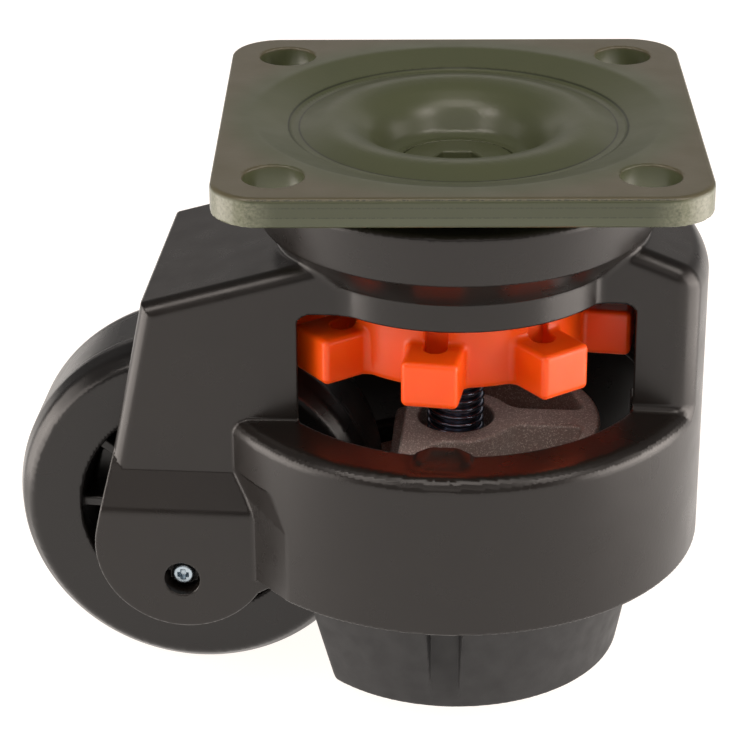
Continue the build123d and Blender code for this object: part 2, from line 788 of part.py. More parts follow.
# The space that the wheel needs beside the foot, over the foot's whole travel.
with BuildPart() as wheel_space:
    with BuildSketch(Plane.XZ.offset(-wheel_well_half_width - 0.6)):
        for travel in (foot_travel_down, -foot_travel_up):
            with Locations((wheel_centre[0], wheel_centre[1] + travel)):
                Circle(foot_gap_radius)
        with Locations((wheel_centre[0], wheel_centre[1] + (foot_travel_down - foot_travel_up) / 2)):
            Rectangle(2 * foot_gap_radius, foot_travel_down + foot_travel_up)
    extrude(amount=2 * wheel_well_half_width + 1.2)

with BuildPart() as foot_frame:
    # three steps up from the pad, each a disc cut straight beside the wheel
    for radius, cut_x, top_depth in (
        (frame_base_radius, frame_flange_x, pad_top_depth - frame_base_thickness),
        (frame_radius, frame_step_x, frame_step_depth),
        (frame_radius, frame_cut_x, frame_top_depth),
    ):
        with BuildSketch(Plane.XY.offset(-pad_top_depth)):
            Circle(radius)
            with Locations((cut_x, 0)):
                Rectangle(2 * radius, 2 * radius, align=(Align.MAX, Align.CENTER), mode=Mode.SUBTRACT)
        extrude(amount=pad_top_depth - top_depth)
    with BuildSketch(Plane.XY.offset(-frame_top_depth)):
        Circle(frame_rim_inner_radius)
        Circle(frame_boss_radius, mode=Mode.SUBTRACT)
        with Locations((frame_cut_x + frame_rib - frame_radius, 0)):
            Rectangle(2 * frame_radius, 2 * frame_radius, mode=Mode.SUBTRACT)
        with Locations((frame_radius, 0)):
            Rectangle(2 * frame_radius, 2 * frame_arm_half_width, mode=Mode.SUBTRACT)
    extrude(amount=-frame_pocket_depth, mode=Mode.SUBTRACT)
    add(wheel_space.part, mode=Mode.SUBTRACT)
    with BuildSketch(Plane.XY.offset(-pad_top_depth)):
        Circle(screw_radius + running_clearance)
    extrude(amount=pad_top_depth - frame_top_depth, mode=Mode.SUBTRACT)
    with BuildSketch(Plane.XY.offset(-frame_top_depth)):
        Circle(frame_mouth_radius)
    extrude(amount=-frame_mouth_depth, mode=Mode.SUBTRACT)
    with BuildSketch(Plane.XY.offset(-pad_top_depth)):
        with Locations(*pad_screw_places):
            Circle(pad_screw_radius + running_clearance)
    extrude(amount=pad_screw_thread_depth, mode=Mode.SUBTRACT)

pad_height = pad_bottom_depth - pad_top_depth
pad_edge = 1.0
pad_slot_flare = 2.4
pad_slot_depth = 5.0
with BuildPart() as foot_pad:
    with BuildSketch(Plane.XZ):
        with BuildLine():
            Polyline(
                (0, -pad_bottom_depth),
                (pad_bottom_radius - pad_edge, -pad_bottom_depth),
                (pad_bottom_radius, -pad_bottom_depth + pad_edge),
                (pad_bottom_radius + pad_taper * pad_height, -pad_top_depth),
                (0, -pad_top_depth),
                close=True,
            )
        make_face()
    revolve(axis=Axis.Z)
    # flat beside the wheel, leaning the way the wheel curves
    with BuildSketch(Plane.XZ.offset(-past)):
        with BuildLine():
            Polyline(
                (pad_flat_x, -pad_bottom_depth),
                (pad_flat_x - pad_flat_lean * pad_height, -pad_top_depth),
                (pad_flat_x - past, -pad_top_depth),
                (pad_flat_x - past, -pad_bottom_depth),
                close=True,
            )
        make_face()
    extrude(amount=2 * past, mode=Mode.SUBTRACT)
    add(wheel_space.part, mode=Mode.SUBTRACT)
    # upright guide slots, flared outwards
    for angle in guide_rib_angles:
        with BuildSketch(Plane.XY.offset(-pad_top_depth)):
            with Locations(Rotation(0, 0, angle)):
                with BuildLine():
                    Polyline(
                        (pad_slot_radius, -pad_slot_half_width),
                        (pad_slot_radius + pad_slot_depth, -pad_slot_half_width - pad_slot_flare),
                        (pad_slot_radius + pad_slot_depth, pad_slot_half_width + pad_slot_flare),
                        (pad_slot_radius, pad_slot_half_width),
                        close=True,
                    )
                make_face()
        extrude(amount=-pad_height, mode=Mode.SUBTRACT)
    with BuildSketch(Plane.XY.offset(-pad_top_depth)):
        Circle(clip_room_radius)
    extrude(amount=-pad_clip_room_depth, mode=Mode.SUBTRACT)
    with BuildSketch(Plane.XY.offset(-pad_bottom_depth)):
        with Locations(*pad_screw_places):
            Circle(pad_screw_head_radius + side_clearance)
    extrude(amount=pad_screw_recess, mode=Mode.SUBTRACT)
    with BuildSketch(Plane.XY.offset(-pad_bottom_depth)):
        with Locations(*pad_screw_places):
            Circle(pad_screw_radius + running_clearance)
    extrude(amount=pad_height, mode=Mode.SUBTRACT)

with BuildPart() as pad_screws:
    with BuildSketch(Plane.XY.offset(-pad_bottom_depth + pad_screw_recess)):
        with Locations(*pad_screw_places):
            Circle(pad_screw_head_radius)
    extrude(amount=-pad_screw_head_height)
    with BuildSketch(Plane.XY.offset(-pad_bottom_depth + pad_screw_recess)):
        with Locations(*pad_screw_places):
            Circle(pad_screw_radius)
    extrude(amount=pad_height - pad_screw_recess + pad_screw_grip)
    with BuildSketch(Plane.XY.offset(-pad_bottom_depth + pad_screw_recess - pad_screw_head_height)):
        with Locations(*pad_screw_places):
            RegularPolygon(radius=pad_screw_socket_flats / 2, side_count=6, major_radius=False)
    extrude(amount=pad_screw_socket_depth, mode=Mode.SUBTRACT)


# ==== labels and files =======================================================================

def write_piece(name, piece, turn=0.0):
    """Label a finished piece, turn it with the housing if it swivels, and write its STEP."""
    placed = piece.rotate(Axis.Z, turn)
    placed.label = name
    export_step(placed, f"parts/{name}.step")


os.makedirs("parts", exist_ok=True)
for name, piece in (
    ("top_plate", top_plate.part),
    ("king_bolt", king_bolt.part),
    ("lower_cup", lower_cup.part),
):
    write_piece(name, piece)
for name, piece in (
    ("housing", housing.part),
    ("upper_race", upper_race.part),
    ("lower_race", lower_race.part),
    ("upper_balls", upper_balls.part),
    ("lower_balls", lower_balls.part),
    ("thrust_plate", thrust_plate.part),
    ("axle", axle.part),
    ("axle_screws", axle_screws.part),
    ("wheel", wheel.part.translate((wheel_centre[0], 0, wheel_centre[1]))),
    ("wheel_bushes", wheel_bushes.part.translate((wheel_centre[0], 0, wheel_centre[1]))),
    ("adjusting_dial", adjusting_dial.part),
    ("levelling_screw", levelling_screw.part),
    ("thrust_washer", thrust_washer.part),
    ("screw_clip", screw_clip.part),
    ("end_clip", end_clip.part),
    ("foot_frame", foot_frame.part),
    ("foot_pad", foot_pad.part),
    ("pad_screws", pad_screws.part),
):
    write_piece(name, piece, swivel_angle)
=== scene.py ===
"""Levelling castor: the detailed model, its finishes, light and camera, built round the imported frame.

Lengths are millimetres in the housing's own frame (origin at the centre of the plate's mounting
face, +Z up, wheel towards -X) until a finished mesh is written, which is in metres.
"""

import json
import logging
import math
from dataclasses import dataclass, field
from enum import Enum, IntEnum
from typing import Any, Callable, Sequence

import bpy
import numpy as np
import openvdb
from mathutils import Matrix, Vector

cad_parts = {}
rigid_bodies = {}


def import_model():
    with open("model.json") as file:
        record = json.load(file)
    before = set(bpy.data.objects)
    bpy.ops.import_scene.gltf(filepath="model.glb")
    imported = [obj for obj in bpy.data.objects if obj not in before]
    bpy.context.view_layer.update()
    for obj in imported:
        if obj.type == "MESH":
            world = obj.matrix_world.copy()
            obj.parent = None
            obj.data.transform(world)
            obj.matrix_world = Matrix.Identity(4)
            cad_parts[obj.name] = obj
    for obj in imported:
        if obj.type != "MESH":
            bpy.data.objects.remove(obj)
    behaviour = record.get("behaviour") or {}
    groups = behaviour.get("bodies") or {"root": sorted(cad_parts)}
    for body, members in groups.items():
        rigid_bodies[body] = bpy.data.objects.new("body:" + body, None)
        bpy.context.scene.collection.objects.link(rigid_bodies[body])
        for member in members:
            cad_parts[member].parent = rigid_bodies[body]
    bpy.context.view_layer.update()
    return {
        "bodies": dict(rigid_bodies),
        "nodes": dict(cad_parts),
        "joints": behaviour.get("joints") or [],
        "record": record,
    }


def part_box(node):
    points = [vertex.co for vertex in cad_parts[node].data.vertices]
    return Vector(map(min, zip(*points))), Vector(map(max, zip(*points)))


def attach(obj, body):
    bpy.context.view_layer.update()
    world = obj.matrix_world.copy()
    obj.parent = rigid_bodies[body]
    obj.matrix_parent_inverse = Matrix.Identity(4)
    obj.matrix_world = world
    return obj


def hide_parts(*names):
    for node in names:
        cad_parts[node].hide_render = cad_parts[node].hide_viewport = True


LOG = logging.getLogger("castor")
MM = 0.001

Points = np.ndarray
Distance = Callable[[Points], np.ndarray]
Outline = Sequence[tuple[float, float]]


class Body(Enum):
    """The bodies that pieces ride on."""

    PLATE = "plate"
    HOUSING = "housing"
    WHEEL = "wheel"
    DIAL = "dial"
    FOOT = "foot"


class Axis(IntEnum):
    """The three directions, as columns of an array of points."""

    X = 0
    Y = 1
    Z = 2


# ---- distance forms: a solid is the set of points where its distance is negative -------------


def rounded(
    corners: Sequence[tuple[float, float, float]], steps: int = 6
) -> list[tuple[float, float]]:
    """A closed outline whose corners are replaced by arcs.

    Args:
        corners: (u, v, radius) of each corner in turn; radius 0 keeps it sharp.
        steps: how many chords make one arc.

    Returns:
        The outline's points.
    """
    points: list[tuple[float, float]] = []
    count = len(corners)
    for index, (u, v, radius) in enumerate(corners):
        here = np.array((u, v))
        back = np.array(corners[index - 1][:2]) - here
        ahead = np.array(corners[(index + 1) % count][:2]) - here
        if radius <= 0.0:
            points.append((u, v))
            continue
        back /= np.linalg.norm(back)
        ahead /= np.linalg.norm(ahead)
        half = math.acos(float(np.clip(back @ ahead, -1.0, 1.0))) / 2
        bisector = (back + ahead) / np.linalg.norm(back + ahead)
        centre = here + bisector * radius / math.sin(half)
        first = here + back * radius / math.tan(half) - centre
        last = here + ahead * radius / math.tan(half) - centre
        turn = math.atan2(first[0] * last[1] - first[1] * last[0], float(first @ last))
        for step in range(steps + 1):
            angle = turn * step / steps
            cos, sin = math.cos(angle), math.sin(angle)
            across = centre[0] + first[0] * cos - first[1] * sin
            along = centre[1] + first[0] * sin + first[1] * cos
            points.append((across, along))
    return points


def hexagon(flats: float, corner: float, steps: int = 6) -> list[tuple[float, float]]:
    """The outline of a regular hexagon.

    Args:
        flats: its size across the flats.
        corner: radius of its corners.
        steps: how many chords make one corner.

    Returns:
        The outline's points.
    """
    reach = flats / math.sqrt(3)
    turns = np.radians(np.arange(0, 360, 60))
    corners = [(reach * math.cos(turn), reach * math.sin(turn), corner) for turn in turns]
    return rounded(corners, steps)


def outline_distance(u: np.ndarray, v: np.ndarray, outline: Outline) -> np.ndarray:
    """Signed distance of points to a closed outline in a plane.

    Args:
        u: first coordinates of the points.
        v: second coordinates.
        outline: the outline's points.

    Returns:
        The distances, negative inside.
    """
    nearest = np.full(u.shape, np.inf)
    inside = np.zeros(u.shape, dtype=bool)
    for (u0, v0), (u1, v1) in zip(outline, list(outline[1:]) + [outline[0]]):
        du, dv = u1 - u0, v1 - v0
        along = np.clip(((u - u0) * du + (v - v0) * dv) / (du * du + dv * dv + 1e-12), 0.0, 1.0)
        gap_u = u - u0 - along * du
        gap_v = v - v0 - along * dv
        nearest = np.minimum(nearest, gap_u * gap_u + gap_v * gap_v)
        if v0 != v1:
            spans = (v0 > v) != (v1 > v)
            inside ^= spans & (u < du * (v - v0) / dv + u0)
    return np.where(inside, -1.0, 1.0) * np.sqrt(nearest)


def lathe(outline: Outline) -> Distance:
    """The solid that an outline in (radius, height) sweeps round the vertical axis.

    Args:
        outline: its points; a solid that reaches the axis is drawn past it, to a negative radius.

    Returns:
        The solid's distance form.
    """
    return lambda p: outline_distance(np.hypot(p[:, 0], p[:, 1]), p[:, 2], outline)


def prism(outline: Outline, across: Axis, low: float, high: float, edge: float = 0.0) -> Distance:
    """An outline drawn in a plane and carried along the third axis.

    Args:
        outline: points in the two other axes, in their X, Y, Z order.
        across: the axis it is carried along.
        low: where it starts on that axis.
        high: where it ends.
        edge: radius of the rounding round both ends.

    Returns:
        The solid's distance form.
    """
    first, second = [axis for axis in Axis if axis != across]

    def form(p: Points) -> np.ndarray:
        """The distances of points from the solid."""
        flat = outline_distance(p[:, first], p[:, second], outline)
        ends = np.abs(p[:, across] - (low + high) / 2) - (high - low) / 2
        return soften_common(flat, ends, edge)

    return form


def half_space(point: tuple[float, float, float], normal: tuple[float, float, float]) -> Distance:
    """Everything behind a plane whose normal points out of it."""
    unit = np.array(normal) / np.linalg.norm(normal)
    return lambda p: (p - np.array(point)) @ unit


def above(height: float) -> Distance:
    """Everything above a height."""
    return half_space((0.0, 0.0, height), (0.0, 0.0, -1.0))


def below(height: float) -> Distance:
    """Everything below a height."""
    return half_space((0.0, 0.0, height), (0.0, 0.0, 1.0))


def ahead_of(place: float) -> Distance:
    """Everything on the +X side of a place."""
    return half_space((place, 0.0, 0.0), (-1.0, 0.0, 0.0))


def rod(centre: tuple[float, float], radius: float, across: Axis) -> Distance:
    """An endless round bar along one axis, centred in the other two."""
    first, second = [axis for axis in Axis if axis != across]
    return lambda p: np.hypot(p[:, first] - centre[0], p[:, second] - centre[1]) - radius


def post(radius: float) -> Distance:
    """An endless upright round bar on the swivel axis."""
    return rod((0.0, 0.0), radius, Axis.Z)


def soften_common(a: np.ndarray, b: np.ndarray, radius: float) -> np.ndarray:
    """Distances to what two solids share, with the edge between them rounded."""
    if radius <= 0.0:
        return np.maximum(a, b)
    reach = np.hypot(np.maximum(a + radius, 0.0), np.maximum(b + radius, 0.0))
    return np.minimum(np.maximum(a, b), -radius) + reach


def common(a: Distance, b: Distance, radius: float = 0.0) -> Distance:
    """What two solids share; radius rounds the edge between them."""
    return lambda p: soften_common(a(p), b(p), radius)


def cut(a: Distance, b: Distance, radius: float = 0.0) -> Distance:
    """The first solid without the second; radius rounds the cut's rim."""
    return lambda p: soften_common(a(p), -b(p), radius)


def join(a: Distance, b: Distance, radius: float = 0.0) -> Distance:
    """Both solids as one; radius is the fillet in the corner between them."""
    return lambda p: -soften_common(-a(p), -b(p), radius)


def mirrored(a: Distance) -> Distance:
    """The same solid on both sides of the wheel's plane, given on the side where Y is positive."""
    return lambda p: a(np.column_stack((p[:, 0], np.abs(p[:, 1]), p[:, 2])))


def repeated_round(a: Distance, count: int, degrees: float) -> Distance:
    """A solid on the +X side repeated round the vertical axis.

    Args:
        a: the solid, drawn about the +X direction.
        count: how many there are in a turn.
        degrees: the direction of the first.

    Returns:
        The ring's distance form.
    """
    share = 2 * math.pi / count

    def form(p: Points) -> np.ndarray:
        """The distances of points from the solid."""
        radius = np.hypot(p[:, 0], p[:, 1])
        angle = np.arctan2(p[:, 1], p[:, 0]) - math.radians(degrees)
        angle = (angle + share / 2) % share - share / 2
        return a(np.column_stack((radius * np.cos(angle), radius * np.sin(angle), p[:, 2])))

    return form


# ---- from a distance form to a mesh ----------------------------------------------------------


@dataclass
class Caster:
    """Turns distance forms into smooth meshes, as a mould turns out castings.

    Attributes:
        swivel: how far the housing's frame is turned under the plate, in degrees.
        block: how many samples long one block of the grid is.
        half_diagonal: from a block's middle to its corner, counted in its sides.
        band: how many cells from the surface the distances are kept.
        margin: how many cells the grid reaches past the piece.
        step: how far apart the slope of a form is measured, in millimetres.
        passes: how many times a mesh is drawn onto the exact surface.
    """

    swivel: float
    block: int = 16
    half_diagonal: float = 0.87
    band: int = 3
    margin: int = 2
    step: float = 0.02
    passes: int = 2

    def normals(self, form: Distance, points: Points) -> Points:
        """Directions in which the distance grows fastest at the points."""
        grown = np.zeros_like(points)
        for axis in Axis:
            shift = np.zeros(3)
            shift[axis] = self.step
            grown[:, axis] = form(points + shift) - form(points - shift)
        return grown / np.maximum(np.linalg.norm(grown, axis=1, keepdims=True), 1e-9)

    def sample(
        self, form: Distance, low: Points, cell: float, shape: tuple[int, ...]
    ) -> np.ndarray:
        """Samples a form on a grid, only near its surface.

        Args:
            form: the solid.
            low: the grid's lowest corner.
            cell: the grid's spacing.
            shape: how many samples there are each way, in multiples of the block.

        Returns:
            The distances, cut off a few cells from the surface.
        """
        block = self.block
        limit = self.band * cell
        values = np.empty(shape, dtype=np.float32)
        counts = [size // block for size in shape]
        index = np.indices(counts).reshape(3, -1).T
        middle = low + (index * block + (block - 1) / 2) * cell
        rough = form(middle)
        near = np.abs(rough) < (block * cell) * self.half_diagonal + limit
        offsets = np.indices((block, block, block)).reshape(3, -1).T * cell
        for place, is_near, value in zip(index, near, rough):
            i, j, k = place * block
            window = values[i : i + block, j : j + block, k : k + block]
            if is_near:
                window[:] = form(low + place * block * cell + offsets).reshape(window.shape)
            else:
                window[:] = value
        return np.clip(values, -limit, limit)

    def mesh(
        self,
        name: str,
        form: Distance,
        low: tuple[float, float, float],
        high: tuple[float, float, float],
        cell: float,
        faces: int,
        with_housing: bool = True,
    ) -> bpy.types.Object:
        """Meshes a form, sets its exact surface and normals, and places it in the row frame.

        Args:
            name: the new object's name.
            form: the solid.
            low: lowest corner of a box that holds it.
            high: highest corner.
            cell: size of the mesh's facets.
            faces: about how many triangles are kept.
            with_housing: whether the piece is turned with the housing.

        Returns:
            The new object, at the origin, with its place in its mesh.
        """
        start = np.array(low) - self.margin * cell
        shape = tuple(
            int(math.ceil((top - bottom + 2 * self.margin * cell) / cell / self.block)) * self.block
            for bottom, top in zip(low, high)
        )
        grid = openvdb.FloatGrid(self.band * cell)
        grid.copyFromArray(self.sample(form, start, cell, shape))
        points, quads = grid.convertToQuads()
        points = points.astype(np.float64) * cell + start
        mesh = bpy.data.meshes.new(name)
        mesh.from_pydata(points.tolist(), [], quads.tolist())
        made = bpy.data.objects.new(name, mesh)
        bpy.context.scene.collection.objects.link(made)
        if 2 * len(quads) > faces:
            thinning = made.modifiers.new("thinning", "DECIMATE")
            thinning.ratio = faces / (2 * len(quads))
            evaluated = made.evaluated_get(bpy.context.evaluated_depsgraph_get())
            thinned = bpy.data.meshes.new_from_object(evaluated)
            made.modifiers.clear()
            made.data = thinned
            bpy.data.meshes.remove(mesh)
            mesh = thinned
            mesh.name = name
        points = np.empty(len(mesh.vertices) * 3)
        mesh.vertices.foreach_get("co", points)
        points = points.reshape(-1, 3)
        for _ in range(self.passes):
            points -= self.normals(form, points) * form(points)[:, None]
        normals = self.normals(form, points)
        if with_housing:
            points = self.turn(points)
            normals = self.turn(normals)
        mesh.vertices.foreach_set("co", (points * MM).ravel())
        mesh.update()
        mesh.shade_smooth()
        mesh.normals_split_custom_set_from_vertices(normals)
        LOG.info("%s: %d faces", name, len(mesh.polygons))
        return made

    def turn(self, points: Points) -> Points:
        """Points turned from the housing's frame into the row frame."""
        cos, sin = math.cos(math.radians(self.swivel)), math.sin(math.radians(self.swivel))
        return points @ np.array(((cos, sin, 0.0), (-sin, cos, 0.0), (0.0, 0.0, 1.0)))


# ---- geometry node trees ---------------------------------------------------------------------


class Socket(Enum):
    """The kinds of input that the trees take."""

    LENGTH = "NodeSocketFloat"
    COUNT = "NodeSocketInt"
    PLACE = "NodeSocketVector"
    PIECE = "NodeSocketObject"
    FINISH = "NodeSocketMaterial"
    SHAPE = "NodeSocketGeometry"


def new_tree(
    name: str, inputs: dict[str, Socket]
) -> tuple[bpy.types.NodeTree, bpy.types.Node, bpy.types.Node]:
    """An empty tree with named inputs and one geometry output.

    Args:
        name: the tree's name.
        inputs: its inputs' names and kinds.

    Returns:
        The tree, its input node and its output node.
    """
    tree = bpy.data.node_groups.new(name, "GeometryNodeTree")
    tree.interface.new_socket("Geometry", in_out="INPUT", socket_type=Socket.SHAPE.value)
    for label, kind in inputs.items():
        tree.interface.new_socket(label, in_out="INPUT", socket_type=kind.value)
    tree.interface.new_socket("Geometry", in_out="OUTPUT", socket_type=Socket.SHAPE.value)
    return tree, tree.nodes.new("NodeGroupInput"), tree.nodes.new("NodeGroupOutput")


def close_tree(
    tree: bpy.types.NodeTree,
    shape: bpy.types.NodeSocket,
    finish: bpy.types.NodeSocket,
    end: bpy.types.Node,
) -> None:
    """Ends a tree in real geometry with its material.

    Args:
        tree: the tree.
        shape: its geometry so far.
        finish: its material.
        end: its output node.
    """
    real = add_node(tree, "GeometryNodeRealizeInstances", {}, {"Geometry": shape})
    dressed = add_node(
        tree, "GeometryNodeSetMaterial", {}, {"Geometry": real.outputs["Geometry"], "Material": finish}
    )
    tree.links.new(dressed.outputs["Geometry"], end.inputs["Geometry"])


def thread_tree() -> bpy.types.NodeTree:
    """A screw thread's ridge: a trapezium carried up a helix."""
    sizes = (
        "Pitch",
        "Turns",
        "Root Radius",
        "Crest Radius",
        "Foot Share",
        "Crest Share",
        "Bottom",
    )
    inputs = {label: Socket.LENGTH for label in sizes}
    inputs |= {"Steps": Socket.COUNT, "Finish": Socket.FINISH}
    tree, given, end = new_tree("thread", inputs)
    pitch, turns, root = (given.outputs[label] for label in ("Pitch", "Turns", "Root Radius"))
    rise = add_node(tree, "ShaderNodeMath", {"operation": "MULTIPLY"}, {0: pitch, 1: turns})
    helix = add_node(
        tree,
        "GeometryNodeCurveSpiral",
        {},
        {
            "Resolution": given.outputs["Steps"],
            "Rotations": turns,
            "Start Radius": root,
            "End Radius": root,
            "Height": rise.outputs[0],
        },
    )
    lift = add_node(tree, "ShaderNodeCombineXYZ", {}, {"Z": given.outputs["Bottom"]})
    placed = add_node(
        tree,
        "GeometryNodeSetPosition",
        {},
        {"Geometry": helix.outputs["Curve"], "Offset": lift.outputs["Vector"]},
    )
    upright = add_node(
        tree,
        "GeometryNodeSetCurveNormal",
        {"mode": "Z_UP"},
        {"Curve": placed.outputs["Geometry"]},
    )
    depth = add_node(
        tree,
        "ShaderNodeMath",
        {"operation": "SUBTRACT"},
        {0: given.outputs["Crest Radius"], 1: root},
    )
    foot_width, crest_width = (
        add_node(
            tree,
            "ShaderNodeMath",
            {"operation": "MULTIPLY"},
            {0: pitch, 1: given.outputs[label]},
        )
        for label in ("Foot Share", "Crest Share")
    )
    section = add_node(
        tree,
        "GeometryNodeCurvePrimitiveQuadrilateral",
        {"mode": "TRAPEZOID"},
        {
            "Height": depth.outputs[0],
            "Bottom Width": foot_width.outputs[0],
            "Top Width": crest_width.outputs[0],
            "Offset": 0.0,
        },
    )
    half = add_node(tree, "ShaderNodeMath", {"operation": "MULTIPLY"}, {0: depth.outputs[0], 1: 0.5})
    out = add_node(tree, "ShaderNodeCombineXYZ", {}, {"Y": half.outputs[0]})
    seated = add_node(
        tree,
        "GeometryNodeTransform",
        {},
        {"Geometry": section.outputs["Curve"], "Translation": out.outputs["Vector"]},
    )
    outward = add_node(
        tree,
        "GeometryNodeTransform",
        {},
        {"Geometry": seated.outputs["Geometry"], "Rotation": (0.0, 0.0, math.pi / 2)},
    )
    ridge = add_node(
        tree,
        "GeometryNodeCurveToMesh",
        {},
        {
            "Curve": upright.outputs["Curve"],
            "Profile Curve": outward.outputs["Geometry"],
            "Fill Caps": True,
        },
    )
    joined = add_node(tree, "GeometryNodeJoinGeometry")
    tree.links.new(given.outputs["Geometry"], joined.inputs["Geometry"])
    tree.links.new(ridge.outputs["Mesh"], joined.inputs["Geometry"])
    close_tree(tree, joined.outputs["Geometry"], given.outputs["Finish"], end)
    return tree


def ring_tree() -> bpy.types.NodeTree:
    """A piece repeated round the vertical axis and joined to what it stands on."""
    inputs = {"Piece": Socket.PIECE, "Count": Socket.COUNT, "Finish": Socket.FINISH}
    tree, given, end = new_tree("ring", inputs)
    spots = add_node(
        tree,
        "GeometryNodeMeshLine",
        {},
        {"Count": given.outputs["Count"], "Offset": (0.0, 0.0, 0.0)},
    )
    piece = add_node(
        tree,
        "GeometryNodeObjectInfo",
        {"transform_space": "ORIGINAL"},
        {0: given.outputs["Piece"]},
    )
    share = add_node(
        tree, "ShaderNodeMath", {"operation": "DIVIDE"}, {0: 2 * math.pi, 1: given.outputs["Count"]}
    )
    index = add_node(tree, "GeometryNodeInputIndex")
    angle = add_node(
        tree, "ShaderNodeMath", {"operation": "MULTIPLY"}, {0: index.outputs[0], 1: share.outputs[0]}
    )
    turn = add_node(tree, "ShaderNodeCombineXYZ", {}, {"Z": angle.outputs[0]})
    ring = add_node(
        tree,
        "GeometryNodeInstanceOnPoints",
        {},
        {
            "Points": spots.outputs["Mesh"],
            "Instance": piece.outputs["Geometry"],
            "Rotation": turn.outputs["Vector"],
        },
    )
    joined = add_node(tree, "GeometryNodeJoinGeometry")
    tree.links.new(given.outputs["Geometry"], joined.inputs["Geometry"])
    tree.links.new(ring.outputs["Instances"], joined.inputs["Geometry"])
    close_tree(tree, joined.outputs["Geometry"], given.outputs["Finish"], end)
    return tree


def pair_tree() -> bpy.types.NodeTree:
    """A screw set twice, each with its own place and turn."""
    tree, given, end = new_tree(
        "pair",
        {
            "Piece": Socket.PIECE,
            "First Place": Socket.PLACE,
            "First Turn": Socket.PLACE,
            "Second Place": Socket.PLACE,
            "Second Turn": Socket.PLACE,
            "Finish": Socket.FINISH,
        },
    )
    piece = add_node(
        tree,
        "GeometryNodeObjectInfo",
        {"transform_space": "ORIGINAL"},
        {0: given.outputs["Piece"]},
    )
    joined = add_node(tree, "GeometryNodeJoinGeometry")
    for which in ("First", "Second"):
        placed = add_node(
            tree,
            "GeometryNodeTransform",
            {},
            {
                "Geometry": piece.outputs["Geometry"],
                "Translation": given.outputs[f"{which} Place"],
                "Rotation": given.outputs[f"{which} Turn"],
            },
        )
        tree.links.new(placed.outputs["Geometry"], joined.inputs["Geometry"])
    close_tree(tree, joined.outputs["Geometry"], given.outputs["Finish"], end)
    return tree


def grow(carrier: bpy.types.Object, tree: bpy.types.NodeTree, values: dict[str, Any]) -> None:
    """Runs a tree on an object and keeps the result as its plain mesh.

    Args:
        carrier: the object, whose mesh goes in as the tree's geometry.
        tree: the tree.
        values: its inputs by name.
    """
    modifier = carrier.modifiers.new(tree.name, "NODES")
    modifier.node_group = tree
    for item in tree.interface.items_tree:
        if item.in_out == "INPUT" and item.name in values:
            modifier[item.identifier] = values[item.name]
    bpy.context.view_layer.update()
    evaluated = carrier.evaluated_get(bpy.context.evaluated_depsgraph_get())
    grown = bpy.data.meshes.new_from_object(evaluated)
    carrier.modifiers.clear()
    grown.name = carrier.data.name
    carrier.data = grown


# ---- finishes --------------------------------------------------------------------------------

# Most of a noise texture's values lie between these two.
NOISE_SPAN = (0.3, 0.7)


def linear(colour: str) -> tuple[float, float, float, float]:
    """An sRGB hex colour as the linear values that shaders take."""
    parts = [int(colour[i : i + 2], 16) / 255 for i in (0, 2, 4)]
    red, green, blue = [
        part / 12.92 if part <= 0.04045 else ((part + 0.055) / 1.055) ** 2.4 for part in parts
    ]
    return red, green, blue, 1.0


def per_metre(size: float) -> float:
    """The scale of a pattern whose features are about a size in millimetres across."""
    return 1.0 / (size * MM)


def add_node(
    tree: bpy.types.NodeTree,
    kind: str,
    settings: dict[str, Any] | None = None,
    inputs: dict[Any, Any] | None = None,
) -> bpy.types.Node:
    """Adds a node with its settings and links.

    Args:
        tree: the tree that it joins.
        kind: the node's type.
        settings: its properties by name.
        inputs: its inputs by name or index; a socket is linked, anything else is set.

    Returns:
        The node.
    """
    node = tree.nodes.new(kind)
    for name, value in (settings or {}).items():
        setattr(node, name, value)
    for name, value in (inputs or {}).items():
        if isinstance(value, bpy.types.NodeSocket):
            tree.links.new(value, node.inputs[name])
        else:
            node.inputs[name].default_value = value
    return node


def share_past(
    tree: bpy.types.NodeTree, *steps: tuple[bpy.types.NodeSocket, float, float]
) -> bpy.types.NodeSocket:
    """How far all of some values are past their steps, from 0 to 1.

    Args:
        tree: the tree.
        steps: for each, a value and where its step begins and ends; a step that ends below its
            beginning counts downwards.

    Returns:
        The product of the shares.
    """
    shares = [
        add_node(
            tree,
            "ShaderNodeMapRange",
            {"interpolation_type": "SMOOTHSTEP", "clamp": True},
            {"Value": value, "From Min": begin, "From Max": end},
        ).outputs["Result"]
        for value, begin, end in steps
    ]
    product = shares[0]
    for share in shares[1:]:
        product = add_node(
            tree, "ShaderNodeMath", {"operation": "MULTIPLY"}, {0: product, 1: share}
        ).outputs[0]
    return product


def gap_to(
    tree: bpy.types.NodeTree, value: bpy.types.NodeSocket, middle: float
) -> bpy.types.NodeSocket:
    """How far a value is from a middle, on either side of it."""
    off = add_node(tree, "ShaderNodeMath", {"operation": "SUBTRACT"}, {0: value, 1: middle})
    return add_node(
        tree, "ShaderNodeMath", {"operation": "ABSOLUTE"}, {0: off.outputs[0]}
    ).outputs[0]


def distance_out(
    tree: bpy.types.NodeTree, first: bpy.types.NodeSocket, second: bpy.types.NodeSocket
) -> bpy.types.NodeSocket:
    """How far out a place is, from its two coordinates."""
    flat = add_node(tree, "ShaderNodeCombineXYZ", {}, {"X": first, "Y": second})
    return add_node(
        tree, "ShaderNodeVectorMath", {"operation": "LENGTH"}, {0: flat.outputs["Vector"]}
    ).outputs["Value"]


